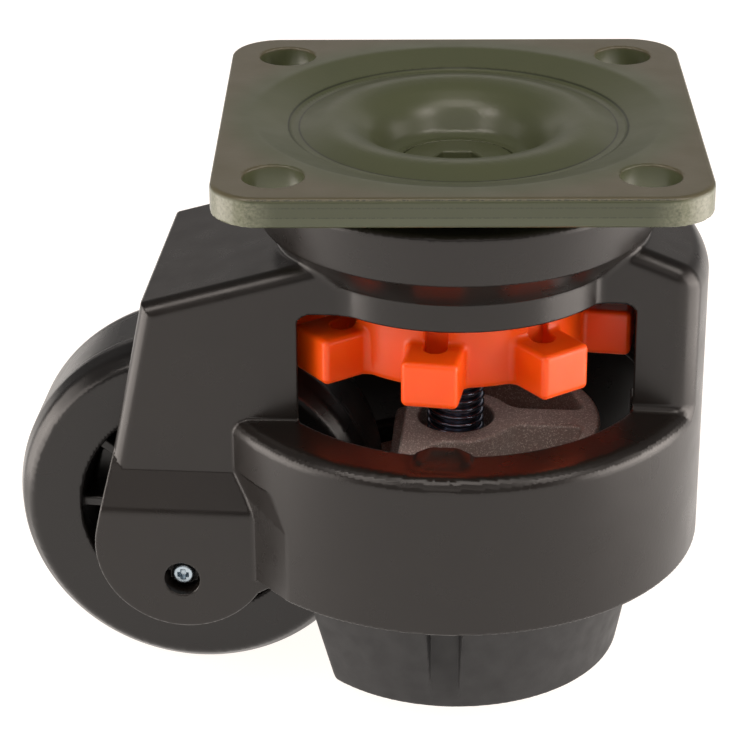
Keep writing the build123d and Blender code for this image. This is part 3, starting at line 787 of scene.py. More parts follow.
@dataclass(frozen=True)
class Finish:
    """A finish with a faint mottle, uneven gloss and a fine surface grain.

    Attributes:
        name: the material's name.
        colour: its main colour.
        mottle: the colour that it drifts to.
        mottle_size: size of the drift, in millimetres.
        gloss: lowest and highest roughness.
        gloss_size: size of the patches of gloss.
        grain_size: size of the surface grain, drawn as coarse as it needs to show.
        grain_depth: its depth.
        metallic: 1 for bare metal, 0 for coats and plastics.
        shader: settings of the shader's own sockets.
    """

    name: str
    colour: str
    mottle: str
    mottle_size: float
    gloss: tuple[float, float]
    gloss_size: float
    grain_size: float
    grain_depth: float
    metallic: float = 0.0
    shader: tuple[tuple[str, Any], ...] = ()

    def base(self, tree: bpy.types.NodeTree, place: bpy.types.NodeSocket) -> bpy.types.NodeSocket:
        """The colour, drifting between two near shades."""
        noise = add_node(
            tree,
            "ShaderNodeTexNoise",
            {},
            {"Vector": place, "Scale": per_metre(self.mottle_size), "Detail": 3.0},
        )
        return add_node(
            tree,
            "ShaderNodeMix",
            {"data_type": "RGBA"},
            {0: noise.outputs["Fac"], 6: linear(self.colour), 7: linear(self.mottle)},
        ).outputs[2]

    def rough(self, tree: bpy.types.NodeTree, place: bpy.types.NodeSocket) -> bpy.types.NodeSocket:
        """The roughness, a little uneven."""
        noise = add_node(
            tree,
            "ShaderNodeTexNoise",
            {},
            {"Vector": place, "Scale": per_metre(self.gloss_size), "Detail": 2.0},
        )
        least, most = NOISE_SPAN
        low, high = self.gloss
        return add_node(
            tree,
            "ShaderNodeMapRange",
            {},
            {
                "Value": noise.outputs["Fac"],
                "From Min": least,
                "From Max": most,
                "To Min": low,
                "To Max": high,
            },
        ).outputs["Result"]

    def height(self, tree: bpy.types.NodeTree, place: bpy.types.NodeSocket) -> bpy.types.NodeSocket:
        """The grain's height, from 0 to 1."""
        noise = add_node(
            tree,
            "ShaderNodeTexNoise",
            {},
            {"Vector": place, "Scale": per_metre(self.grain_size), "Detail": 2.0},
        )
        return noise.outputs["Fac"]

    def material(self) -> bpy.types.Material:
        """Builds the material."""
        made = bpy.data.materials.new(self.name)
        made.use_nodes = True
        tree = made.node_tree
        shader = tree.nodes["Principled BSDF"]
        place = add_node(tree, "ShaderNodeTexCoord").outputs["Object"]
        bump = add_node(
            tree,
            "ShaderNodeBump",
            {},
            {"Height": self.height(tree, place), "Strength": 1.0, "Distance": self.grain_depth * MM},
        )
        tree.links.new(self.base(tree, place), shader.inputs["Base Color"])
        tree.links.new(self.rough(tree, place), shader.inputs["Roughness"])
        tree.links.new(bump.outputs["Normal"], shader.inputs["Normal"])
        shader.inputs["Metallic"].default_value = self.metallic
        for name, value in self.shader:
            shader.inputs[name].default_value = value
        made.diffuse_color = linear(self.colour)
        return made


@dataclass(frozen=True)
class SandCasting(Finish):
    """A raw casting: coarse grain, with painted glints: bright specks painted into its colour where
    crystals would catch the light.

    Attributes:
        painted_glint_size: distance between the crystals whose glints are painted.
        painted_glint_share: how much of the surface the painted glints take.
        painted_glint_colour: the colour of the painted glints, which stand in for crystals catching the
            light.
    """

    painted_glint_size: float = 0.45
    painted_glint_share: float = 0.12
    painted_glint_colour: str = "B8A9A2"

    def painted_glints(self, tree: bpy.types.NodeTree, place: bpy.types.NodeSocket) -> bpy.types.NodeSocket:
        """1 on the painted glints, 0 elsewhere."""
        cells = add_node(
            tree,
            "ShaderNodeTexVoronoi",
            {},
            {"Vector": place, "Scale": per_metre(self.painted_glint_size)},
        )
        shade = add_node(tree, "ShaderNodeSeparateColor", {}, {"Color": cells.outputs["Color"]})
        return add_node(
            tree,
            "ShaderNodeMapRange",
            {"clamp": True},
            {
                "Value": shade.outputs["Red"],
                "From Min": 1.0 - self.painted_glint_share,
                "From Max": 1.0 - self.painted_glint_share / 2,
                "To Min": 0.0,
                "To Max": 1.0,
            },
        ).outputs["Result"]

    def base(self, tree: bpy.types.NodeTree, place: bpy.types.NodeSocket) -> bpy.types.NodeSocket:
        """The casting's colour with its painted glints."""
        # Painted glints: bright specks laid into the base colour, standing in for light caught by
        # crystals.
        return add_node(
            tree,
            "ShaderNodeMix",
            {"data_type": "RGBA"},
            {0: self.painted_glints(tree, place), 6: super().base(tree, place), 7: linear(self.painted_glint_colour)},
        ).outputs[2]


@dataclass(frozen=True)
class PressedEnamel(Finish):
    """Enamel on the pressed plate, rubbed thin at its sheared edge, with light and shade painted into
    its colour: a painted sheen on the flat, painted shade in its creases, on its sides and in lines
    along them.

    Attributes:
        painted_flat_sheen: painted sheen, the lighter, browner colour of the flat outside the stamped
            middle, standing in for the reflection it catches.
        side: painted shade, the sides' colour, darker than the top to stand in for the shade they are
            in.
        sheared: the colour of the sheared strip along their lower edge.
        rubbed: the colour where the corners are rubbed.
        creases: radii of the stamped creases, in millimetres.
        crease_width: half the width of the painted shade in a crease.
        painted_crease_shade: painted shade, the dark colour drawn in the creases and in the lines along
            the sides.
        middle: radii between which the painted sheen on the flat begins.
        edge: how far out the plate's sides begin, and have begun.
        turn_down: depths between which the flat turns down into the sides.
        side_shade_lines: depths of the painted shade lines along the sides.
        shade_line_width: half the width of a line.
        shade_line_breaks: values of the grain between which a line breaks off.
        strip: depths between which the sheared strip begins.
        corner: radii between which a corner's rubbed part begins.
        rub_depth: depths between which it begins.
        rub_breaks: values of the grain between which it shows through.
        speck_size: size of the grain that breaks lines and rubbed parts.
    """

    painted_flat_sheen: str = "58533F"
    side: str = "3C412C"
    sheared: str = "434833"
    rubbed: str = "787A66"
    creases: tuple[float, ...] = (33.5, 31.4)
    crease_width: float = 0.22
    painted_crease_shade: str = "2E3222"
    middle: tuple[float, float] = (41.0, 49.0)
    edge: tuple[float, float] = (46.1, 46.4)
    turn_down: tuple[float, float] = (0.2, 0.9)
    side_shade_lines: tuple[float, ...] = (0.35, 1.8, 3.7)
    shade_line_width: float = 0.16
    shade_line_breaks: tuple[float, float] = (0.35, 0.6)
    strip: tuple[float, float] = (3.6, 3.9)
    corner: tuple[float, float] = (57.5, 62.0)
    rub_depth: tuple[float, float] = (0.5, 1.2)
    rub_breaks: tuple[float, float] = (0.1, 0.75)
    speck_size: float = 0.6

    def base(self, tree: bpy.types.NodeTree, place: bpy.types.NodeSocket) -> bpy.types.NodeSocket:
        """The coat's colour, with its painted sheen on the flat, painted shade in the creases, on the
        sides and in lines along them, and rubbed corners.
        """
        parts = add_node(tree, "ShaderNodeSeparateXYZ", {}, {"Vector": place})
        radius = distance_out(tree, parts.outputs["X"], parts.outputs["Y"])
        across, along = (
            add_node(
                tree, "ShaderNodeMath", {"operation": "ABSOLUTE"}, {0: parts.outputs[axis]}
            ).outputs[0]
            for axis in ("X", "Y")
        )
        reach = add_node(tree, "ShaderNodeMath", {"operation": "MAXIMUM"}, {0: across, 1: along})
        depth = add_node(
            tree, "ShaderNodeMath", {"operation": "MULTIPLY"}, {0: parts.outputs["Z"], 1: -1.0}
        ).outputs[0]
        grain = add_node(
            tree,
            "ShaderNodeTexNoise",
            {},
            {"Vector": place, "Scale": per_metre(self.speck_size), "Detail": 4.0},
        ).outputs["Fac"]
        shallow, deep = self.turn_down
        on_top = (depth, deep * MM, shallow * MM)
        on_side = (reach.outputs[0], self.edge[0] * MM, self.edge[1] * MM)
        outside = (radius, self.middle[0] * MM, self.middle[1] * MM)
        # Painted sheen: the flat outside the middle is painted lighter and browner in place of the
        # reflection it catches.
        layers = [(share_past(tree, on_top, outside), self.painted_flat_sheen)]
        # Painted shade: a dark line drawn in each stamped crease.
        for crease in self.creases:
            in_crease = gap_to(tree, radius, crease * MM)
            width = self.crease_width * MM
            layers.append((share_past(tree, (in_crease, width, width / 2)), self.painted_crease_shade))
        # Painted shade: the sides below the turned-down edge are painted darker than the top.
        turned_down = (depth, shallow * MM, deep * MM)
        layers.append((share_past(tree, on_side, turned_down), self.side))
        on_strip = (depth, self.strip[0] * MM, self.strip[1] * MM)
        layers.append((share_past(tree, on_side, on_strip), self.sheared))
        # Painted shade: dark lines drawn along the sides where their bands meet, broken by the grain.
        for shade_line_depth in self.side_shade_lines:
            in_shade_line = gap_to(tree, depth, shade_line_depth * MM)
            width = self.shade_line_width * MM
            mark = share_past(
                tree, on_side, (in_shade_line, width, width / 2), (grain, *self.shade_line_breaks)
            )
            layers.append((mark, self.painted_crease_shade))
        on_corner = (radius, self.corner[0] * MM, self.corner[1] * MM)
        past_edge = (depth, self.rub_depth[0] * MM, self.rub_depth[1] * MM)
        rub = share_past(tree, on_corner, past_edge, (grain, *self.rub_breaks))
        layers.append((rub, self.rubbed))
        colour = super().base(tree, place)
        for share, shade in layers:
            colour = add_node(
                tree,
                "ShaderNodeMix",
                {"data_type": "RGBA"},
                {0: share, 6: colour, 7: linear(shade)},
            ).outputs[2]
        return colour


@dataclass(frozen=True)
class MouldedWheel(Finish):
    """Moulded nylon with fine parting lines round the tread.

    Attributes:
        axle: a point on the axle, in millimetres.
        swivel: how far the axle is turned about the vertical axis, in degrees.
        lines: how far the lines lie from the wheel's middle.
        line_width: half the width of a line.
        inner: radii between which they begin to show.
        depth: how deep they are, counted in depths of the grain.
    """

    axle: tuple[float, float, float] = (-53.16, 3.9, -83.4)
    swivel: float = -4.2
    lines: tuple[float, ...] = (7.9, 6.4)
    line_width: float = 0.3
    inner: tuple[float, float] = (35.5, 35.8)
    depth: float = 12.0

    def height(self, tree: bpy.types.NodeTree, place: bpy.types.NodeSocket) -> bpy.types.NodeSocket:
        """The grain's height with the parting lines sunk into it."""
        own = add_node(
            tree,
            "ShaderNodeMapping",
            {"vector_type": "TEXTURE"},
            {
                "Vector": place,
                "Location": tuple(part * MM for part in self.axle),
                "Rotation": (0.0, 0.0, math.radians(self.swivel)),
            },
        ).outputs["Vector"]
        parts = add_node(tree, "ShaderNodeSeparateXYZ", {}, {"Vector": own})
        radius = distance_out(tree, parts.outputs["X"], parts.outputs["Z"])
        from_middle = add_node(
            tree, "ShaderNodeMath", {"operation": "ABSOLUTE"}, {0: parts.outputs["Y"]}
        ).outputs[0]
        outer = (radius, self.inner[0] * MM, self.inner[1] * MM)
        width = self.line_width * MM
        level = super().height(tree, place)
        for offset in self.lines:
            in_line = gap_to(tree, from_middle, offset * MM)
            mark = share_past(tree, outer, (in_line, width, width / 2))
            level = add_node(
                tree,
                "ShaderNodeMath",
                {"operation": "MULTIPLY_ADD"},
                {0: mark, 1: -self.depth, 2: level},
            ).outputs[0]
        return level


# Baked enamel over pressed steel: a soft satin sheen with a slight orange peel.
OLIVE_ENAMEL = PressedEnamel(
    name="olive_baked_enamel",
    colour="4A5038",
    mottle="50543B",
    mottle_size=14.0,
    gloss=(0.30, 0.40),
    gloss_size=9.0,
    grain_size=0.9,
    grain_depth=0.012,
    shader=(("IOR", 1.5), ("Coat Weight", 0.15), ("Coat Roughness", 0.25)),
)
# Powder coat on the zinc casting: near black, satin, with the fine orange peel of baked powder.
BLACK_POWDER_COAT = Finish(
    name="black_satin_powder_coat",
    colour="15110F",
    mottle="1A1613",
    mottle_size=10.0,
    gloss=(0.26, 0.33),
    gloss_size=7.0,
    grain_size=0.7,
    grain_depth=0.012,
    shader=(("IOR", 1.47),),
)
# Glass-filled nylon, moulded bright orange-red: light runs a little way into it.
ORANGE_NYLON = Finish(
    name="orange_red_moulded_nylon",
    colour="FF5A08",
    mottle="FC5206",
    mottle_size=12.0,
    gloss=(0.3, 0.4),
    gloss_size=5.0,
    grain_size=0.8,
    grain_depth=0.008,
    shader=(
        ("IOR", 1.46),
        ("Subsurface Weight", 0.35),
        ("Subsurface Radius", (1.0, 0.16, 0.05)),
        ("Subsurface Scale", 0.003),
    ),
)
# Nylon wheel, moulded black: glossier than the powder coat, with flow marks.
BLACK_NYLON = MouldedWheel(
    name="black_moulded_nylon",
    colour="110F0E",
    mottle="161413",
    mottle_size=16.0,
    gloss=(0.24, 0.32),
    gloss_size=12.0,
    grain_size=1.6,
    grain_depth=0.012,
    shader=(("IOR", 1.47),),
)
# Vulcanised rubber, matt dark grey, slightly dusty.
BLACK_RUBBER = Finish(
    name="black_vulcanised_rubber",
    colour="1A1A1B",
    mottle="222223",
    mottle_size=6.0,
    gloss=(0.52, 0.66),
    gloss_size=4.0,
    grain_size=0.5,
    grain_depth=0.015,
    shader=(("IOR", 1.52),),
)
# Raw cast iron, warm grey, grainy, with bright specks painted in as glints of its crystals.
GREY_CASTING = SandCasting(
    name="grey_raw_casting",
    colour="BEB2AC",
    mottle="A2968F",
    mottle_size=1.0,
    gloss=(0.4, 0.55),
    gloss_size=0.8,
    grain_size=0.35,
    grain_depth=0.05,
    metallic=0.15,
    painted_glint_size=0.2,
    painted_glint_share=0.22,
    painted_glint_colour="ECE6E0",
)
# Blackened, oiled steel: dark bluish with sharp glints.
BLACKENED_STEEL = Finish(
    name="blackened_oiled_steel",
    colour="8C93A6",
    mottle="6E7484",
    mottle_size=3.0,
    gloss=(0.14, 0.24),
    gloss_size=2.0,
    grain_size=0.6,
    grain_depth=0.006,
    metallic=0.9,
)
# Turned and ground steel, bright with a faint brown of oil.
BRIGHT_STEEL = Finish(
    name="bright_turned_steel",
    colour="B4B2AE",
    mottle="A3A09A",
    mottle_size=4.0,
    gloss=(0.2, 0.34),
    gloss_size=3.0,
    grain_size=0.4,
    grain_depth=0.004,
    metallic=1.0,
)
# Hardened and oiled races, darker than turned steel.
DARK_STEEL = Finish(
    name="dark_hardened_steel",
    colour="55524E",
    mottle="46433F",
    mottle_size=5.0,
    gloss=(0.28, 0.42),
    gloss_size=4.0,
    grain_size=0.5,
    grain_depth=0.006,
    metallic=1.0,
)
# Bright zinc plating, bluish, with the softness of small barrel-plated screws.
BLUE_ZINC = Finish(
    name="blue_zinc_plated_steel",
    colour="B9C4CC",
    mottle="9FB0BC",
    mottle_size=1.2,
    gloss=(0.2, 0.32),
    gloss_size=1.0,
    grain_size=0.3,
    grain_depth=0.004,
    metallic=1.0,
)


# ---- the sub-assemblies ----------------------------------------------------------------------


@dataclass
class Sizes:
    """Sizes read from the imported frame, in millimetres, that the sub-assemblies share.

    Attributes:
        swivel: how far the housing is turned under the plate, in degrees.
        wheel_offset: swivel axis to axle, measured level.
        axle_depth: mounting face down to the axle.
        wheel_radius: the wheel's outer radius.
        plate_side: side of the square plate.
        drum_radius: radius of the housing's drum.
        head_top: depth of the housing's head below the mounting face.
        dial_top: depth of the dial's top.
        dial_bottom: depth of its underside.
        frame_top: depth of the foot frame's top.
        pad_top: depth of the joint between foot frame and pad.
        pad_bottom: depth of the pad's sole.
        bolt_bottom: depth of the king bolt's lower end.
        screw_top: depth of the levelling screw's upper end.
        screw_bottom: depth of its lower end.
        thrust_top: depth of the thrust plate's top.
        collar_top: depth of the screw's collar, under the thrust washer.
        ground: depth of the floor, which the wheel stands on.
    """

    swivel: float
    wheel_offset: float
    axle_depth: float
    wheel_radius: float
    plate_side: float
    drum_radius: float
    head_top: float
    dial_top: float
    dial_bottom: float
    frame_top: float
    pad_top: float
    pad_bottom: float
    bolt_bottom: float
    screw_top: float
    screw_bottom: float
    thrust_top: float
    collar_top: float
    ground: float

    @classmethod
    def of_frame(cls, frame: dict[str, Any]) -> "Sizes":
        """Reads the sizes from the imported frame."""
        axle = next(joint for joint in frame["joints"] if joint["name"] == "wheel_spin")["pos_m"]
        wheel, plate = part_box("wheel"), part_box("top_plate")
        housing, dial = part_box("housing"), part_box("adjusting_dial")
        return cls(
            swivel=math.degrees(math.atan2(-axle[1], -axle[0])),
            wheel_offset=math.hypot(axle[0], axle[1]) / MM,
            axle_depth=-axle[2] / MM,
            wheel_radius=(wheel[1][2] - wheel[0][2]) / 2 / MM,
            plate_side=(plate[1][0] - plate[0][0]) / MM,
            drum_radius=housing[1][0] / MM,
            head_top=-housing[1][2] / MM,
            dial_top=-dial[1][2] / MM,
            dial_bottom=-dial[0][2] / MM,
            frame_top=-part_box("foot_frame")[1][2] / MM,
            pad_top=-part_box("foot_pad")[1][2] / MM,
            pad_bottom=-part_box("foot_pad")[0][2] / MM,
            bolt_bottom=-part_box("king_bolt")[0][2] / MM,
            screw_top=-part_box("levelling_screw")[1][2] / MM,
            screw_bottom=-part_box("levelling_screw")[0][2] / MM,
            thrust_top=-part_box("thrust_plate")[1][2] / MM,
            collar_top=-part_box("thrust_washer")[0][2] / MM,
            ground=-wheel[0][2] / MM,
        )


class Slot(Enum):
    """The record's material slots, each with the finish that stands for it."""

    OLIVE_COAT = "olive_coat"
    BLACK_COAT = "black_coat"
    DARK_STEEL = "dark_steel"
    SCREW_STEEL = "screw_steel"
    BRIGHT_STEEL = "bright_steel"
    ZINC = "zinc"
    BLACK_NYLON = "black_nylon"
    RED_NYLON = "red_nylon"
    GREY_CASTING = "grey_casting"
    BLACK_RUBBER = "black_rubber"


FINISHES: dict[Slot, Finish] = {
    Slot.OLIVE_COAT: OLIVE_ENAMEL,
    Slot.BLACK_COAT: BLACK_POWDER_COAT,
    Slot.DARK_STEEL: DARK_STEEL,
    Slot.SCREW_STEEL: BLACKENED_STEEL,
    Slot.BRIGHT_STEEL: BRIGHT_STEEL,
    Slot.ZINC: BLUE_ZINC,
    Slot.BLACK_NYLON: BLACK_NYLON,
    Slot.RED_NYLON: ORANGE_NYLON,
    Slot.GREY_CASTING: GREY_CASTING,
    Slot.BLACK_RUBBER: BLACK_RUBBER,
}


@dataclass
class Workshop:
    """What the sub-assemblies share while they are made.

    Attributes:
        caster: makes meshes from forms.
        nodes: the CAD nodes by name.
        materials: the finishes by slot.
    """

    caster: Caster
    nodes: dict[str, bpy.types.Object]
    materials: dict[Slot, bpy.types.Material]

    def fit(self, piece: bpy.types.Object, body: Body, slot: Slot, replaced: Sequence[str] = ()) -> None:
        """Puts a piece on its body in its finish, in place of the CAD nodes that it stands for."""
        piece.data.materials.clear()
        piece.data.materials.append(self.materials[slot])
        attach(piece, body.value)
        if replaced:
            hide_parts(*replaced)
        LOG.info("%s rides on %s in %s", piece.name, body.value, slot.value)

    def dress_node(self, name: str, slot: Slot) -> None:
        """Gives a CAD node that stays its finish."""
        for held in self.nodes[name].material_slots:
            held.material = self.materials[slot]
        LOG.info("%s keeps its CAD shape in %s", name, slot.value)


@dataclass
class Assembly:
    """A group of pieces that belong together on the castor.

    Attributes:
        sizes: the castor's sizes.
        pieces: the pieces made so far, by what they are.
    """

    sizes: Sizes
    pieces: dict[str, bpy.types.Object] = field(default_factory=dict, init=False)


@dataclass
class Housing(Assembly):
    """The cast housing: head, roof and cheeks, axle lobes, drum and front pillar.

    Attributes:
        cheek: half the width over the cheeks.
        lobe_face: half the width over the axle lobes.
        lobe_radius: radius of a lobe round the axle.
        lobe_end: the direction in which a lobe's arc ends, in degrees.
        tail_top: the roof's rear end, seen from the side.
        roof_slope: how much the roof rises for each millimetre forwards.
        arm_front: how far forwards roof and cheeks reach.
        upper_crease: depth at which the cheeks begin to step out to the lobes.
        lower_crease: depth at which they are out.
        ledge: depth of the sill of the windows.
        bottom: depth of the drum's lower end.
        chamber: radius of the room that the dial turns in.
        bore: radius of the wider bore that the foot slides in.
        bore_step: how far below the sill it begins.
        ceiling: depth of the ceiling over the dial.
        neck: radius of the neck under the head.
        well: half the width of the room for the wheel.
        well_front: how far forwards it reaches.
        shaft_hole: radius of the hole for the swivel's cup.
        race_room: radius of the room for the lower race.
        race_top: depth of its ceiling.
        soft: rounding along roof and cheeks.
        pillar_soft: rounding along the pillar.
        pillar: half the pillar's width.
        axle_radius: the axle's radius.
        slot_reach: how far the axle's slots go into the cheeks, from the middle.
        recess_radius: radius of the recesses for the axle's screws.
        recess_depth: how deep they are.
        recess_offset: from the axle back and down to their middles.
        rib_width: width of a guide rib in the drum.
        below_all: a depth under everything, where open cuts end.
    """

    cheek: float = 26.7
    lobe_face: float = 31.0
    lobe_radius: float = 17.95
    lobe_end: float = 327.0
    tail_top: tuple[float, float] = (-60.8, -32.3)
    roof_slope: float = 0.288
    arm_front: float = -15.0
    upper_crease: float = 67.7
    lower_crease: float = 75.3
    ledge: float = 55.1
    bottom: float = 89.7
    chamber: float = 39.7
    bore: float = 45.4
    bore_step: float = 5.5
    ceiling: float = 33.0
    neck: float = 33.6
    well: float = 16.0
    well_front: float = -20.0
    shaft_hole: float = 18.5
    race_room: float = 29.6
    race_top: float = 18.8
    soft: float = 3.3
    pillar_soft: float = 3.8
    pillar: float = 17.2
    axle_radius: float = 5.0
    slot_reach: float = 24.0
    recess_radius: float = 3.55
    recess_depth: float = 4.5
    recess_offset: tuple[float, float] = (0.4, 7.0)
    rib_width: float = 4.8
    below_all: float = 120.0

    def tail_outline(self) -> list[tuple[float, float]]:
        """The cheek and lobe seen from the side: roof, leaning tail, and the arc round the axle."""
        centre = np.array((-self.sizes.wheel_offset, -self.sizes.axle_depth))
        away = np.array(self.tail_top) - centre
        first = math.atan2(away[1], away[0]) + math.acos(self.lobe_radius / np.linalg.norm(away))
        last = math.radians(self.lobe_end)
        first %= 2 * math.pi
        arc = [
            tuple(centre + self.lobe_radius * np.array((math.cos(angle), math.sin(angle))))
            for angle in np.linspace(first, last, 40)
        ]
        back, ridge = self.tail_top
        return [
            self.tail_top,
            *arc,
            (-31.9, -self.bottom),
            (self.arm_front, -self.bottom),
            (self.arm_front, ridge + self.roof_slope * (self.arm_front - back)),
        ]

    def arms(self) -> Distance:
        """Roof, cheeks and lobes on both sides, before the wheel well is opened."""
        outline = self.tail_outline()
        upper = prism(outline, Axis.Y, -self.cheek, self.cheek, self.soft)
        upper = common(upper, above(-self.bottom + 1.0))
        lobes = prism(outline, Axis.Y, -self.lobe_face, self.lobe_face, 0.5)
        fall = (self.lower_crease - self.upper_crease) / (self.lobe_face - self.cheek)
        joggle = half_space((0.0, self.cheek, -self.upper_crease), (0.0, fall, 1.0))
        return join(upper, mirrored(common(mirrored(lobes), joggle, 0.5)))

    def head(self) -> Distance:
        """The turned head under the plate, with its undercut and neck."""
        top = -self.sizes.head_top
        return lathe(
            rounded(
                [
                    (-5.0, top, 0.0),
                    (-5.0, -self.ceiling, 0.0),
                    (self.neck, -self.ceiling, 0.7),
                    (self.neck, -27.0, 0.8),
                    (39.9, -20.3, 1.6),
                    (42.5, top, 1.1),
                ]
            )
        )

    def drum(self) -> Distance:
        """The drum that the foot slides in."""
        radius = self.sizes.drum_radius
        return lathe(
            rounded(
                [
                    (-5.0, -self.ledge + 0.4, 0.0),
                    (-5.0, -self.bottom, 0.0),
                    (radius, -self.bottom, 0.5),
                    (radius, -self.ledge - 1.0, 3.0),
                ]
            )
        )

    def sill_bumps(self) -> Distance:
        """The low rises on the sill over the guide ribs at the middle of each window."""
        base, middle, top = -57.0, -55.3, -53.4
        side = [(-2.4, base), (-5.2, middle), (-2.4, top), (2.2, top), (4.8, middle), (2.2, base)]
        fall = half_space((0.0, self.chamber, top), (0.0, 0.55, 1.0))
        return mirrored(common(prism(side, Axis.Y, 30.0, 46.0), fall, 1.0))

    def front_pillar(self) -> Distance:
        """The pillar that joins head and drum opposite the wheel."""
        inner, outer, foot = 20.0, 80.0, -self.ledge - 8.0
        slope = [(inner, -15.4), (34.4, -20.9), (outer, -39.0), (outer, foot), (inner, foot)]
        side = prism(slope, Axis.Y, -self.pillar, self.pillar, self.pillar_soft)
        return common(side, post(self.sizes.drum_radius), self.pillar_soft)

    def solid(self) -> Distance:
        """The whole casting."""
        drum = cut(join(self.drum(), self.sill_bumps(), 1.6), self.blend_facets(), 0.15)
        body = join(self.arms(), drum, 0.5)
        body = join(body, self.front_pillar(), 1.6)
        behind = half_space((0.0, 0.0, 0.0), (1.0, 0.0, 0.0))
        body = common(body, join(post(self.sizes.drum_radius), behind))
        body = join(body, self.head(), 1.4)
        body = cut(body, self.dial_room(), 0.6)
        body = cut(body, self.foot_bore(), 0.4)
        body = cut(body, self.wheel_well(), 0.6)
        body = cut(body, self.bearing_room(), 0.5)
        body = cut(body, post(self.shaft_hole), 0.3)
        body = cut(body, self.lower_race_room(), 0.3)
        body = cut(body, self.axle_slots(), 0.3)
        body = join(body, self.guide_ribs(), 0.8)
        return cut(body, self.screw_recesses(), 0.35)

    def dial_room(self) -> Distance:
        """The room that the dial turns in, open downwards."""
        foot = -self.bottom - 20.0
        return lathe(
            rounded(
                [
                    (-5.0, foot, 0.0),
                    (self.chamber, foot, 0.0),
                    (self.chamber, -self.ceiling, 2.2),
                    (-5.0, -self.ceiling, 0.0),
                ]
            )
        )

    def foot_bore(self) -> Distance:
        """The wider bore that the foot slides in."""
        top, foot = -self.ledge - self.bore_step, -self.below_all
        return lathe([(-5.0, foot), (self.bore, foot), (self.bore, top), (-5.0, top)])

    def wheel_well(self) -> Distance:
        """The room between the cheeks, its ceiling stepped round the wheel."""
        roof = self.tail_top[1] + self.roof_slope * 6.0 - 4.5
        back, foot = -95.0, -self.below_all - 5.0
        side = rounded(
            [
                (back, roof - 7.5, 0.0),
                (-62.0, roof - 7.5, 3.0),
                (-54.0, roof, 3.0),
                (-34.0, roof + 20.0 * self.roof_slope, 0.0),
                (-34.0, -self.ceiling, 0.0),
                (self.well_front, -self.ceiling, 0.0),
                (self.well_front, foot, 0.0),
                (back, foot, 0.0),
            ]
        )
        return prism(side, Axis.Y, -self.well, self.well)

    def bearing_room(self) -> Distance:
        """The cup in the head that the swivel bearing runs in."""
        wall, floor = 37.8, -13.8
        return lathe([(-5.0, 0.0), (-5.0, floor), (34.6, floor), (wall, -9.0), (wall, 0.0)])

    def lower_race_room(self) -> Distance:
        """The room under the head for the bearing's lower race."""
        top, foot = -self.race_top, -40.0
        return lathe([(-5.0, top), (-5.0, foot), (self.race_room, foot), (self.race_room, top)])

    def axle_slots(self) -> Distance:
        """The blind slots, open downwards, that the axle is pushed up into."""
        x, z = -self.sizes.wheel_offset, -self.sizes.axle_depth
        side = self.axle_radius + 0.05
        reach, foot = self.slot_reach, -self.below_all
        outline = [(x - side, foot), (x + side, foot), (x + side, z), (x - side, z)]
        slot = prism(outline, Axis.Y, -reach, reach)
        within = half_space((0.0, reach, 0.0), (0.0, 1.0, 0.0))
        round_end = common(rod((x, z), side, Axis.Y), within)
        return join(slot, mirrored(round_end))

    def screw_recesses(self) -> Distance:
        """The round recesses in the lobes for the axle's locking screws."""
        back, down = self.recess_offset
        x, z = -self.sizes.wheel_offset - back, -self.sizes.axle_depth - down
        floor = half_space((0.0, self.lobe_face - self.recess_depth, 0.0), (0.0, -1.0, 0.0))
        return mirrored(common(rod((x, z), self.recess_radius, Axis.Y), floor))

    def blend_facets(self) -> Distance:
        """The flats that run from each joggle out over the drum, and down beside the lobe."""
        flat = half_space((-43.0, 26.7, -67.6), (0.766, -0.635, 0.105))
        skirt = half_space((-38.8, 31.0, -75.2), (0.756, -0.655, 0.0))
        return mirrored(common(common(flat, skirt), below(-66.9)))

    def guide_ribs(self) -> Distance:
        """The upright ribs in the drum's bore that stop the foot from turning."""
        low, high = -self.bottom + 1.0, -self.ledge - 5.0
        inner, outer, half = 36.0, self.bore + 1.0, self.rib_width / 2
        outline = [(inner, -half), (outer, -half), (outer, half), (inner, half)]
        rib = prism(outline, Axis.Z, low, high, 0.6)
        return common(repeated_round(rib, 4, 0.0), ahead_of(-10.0))

    def build(self, shop: Workshop) -> None:
        """Meshes the casting."""
        reach = self.sizes.drum_radius + 1.0
        low, high = (-73.0, -reach, -102.0), (reach, reach, -9.0)
        casting = shop.caster.mesh("housing_casting", self.solid(), low, high, 0.56, 197000)
        self.pieces["casting"] = casting

    def dress(self, shop: Workshop) -> None:
        """Coats the casting, and finishes the bearing parts pressed into it."""
        shop.fit(self.pieces["casting"], Body.HOUSING, Slot.BLACK_COAT, ["housing"])
        for name in ("upper_race", "lower_race", "thrust_plate"):
            shop.dress_node(name, Slot.DARK_STEEL)
        for name in ("upper_balls", "lower_balls", "axle"):
            shop.dress_node(name, Slot.BRIGHT_STEEL)


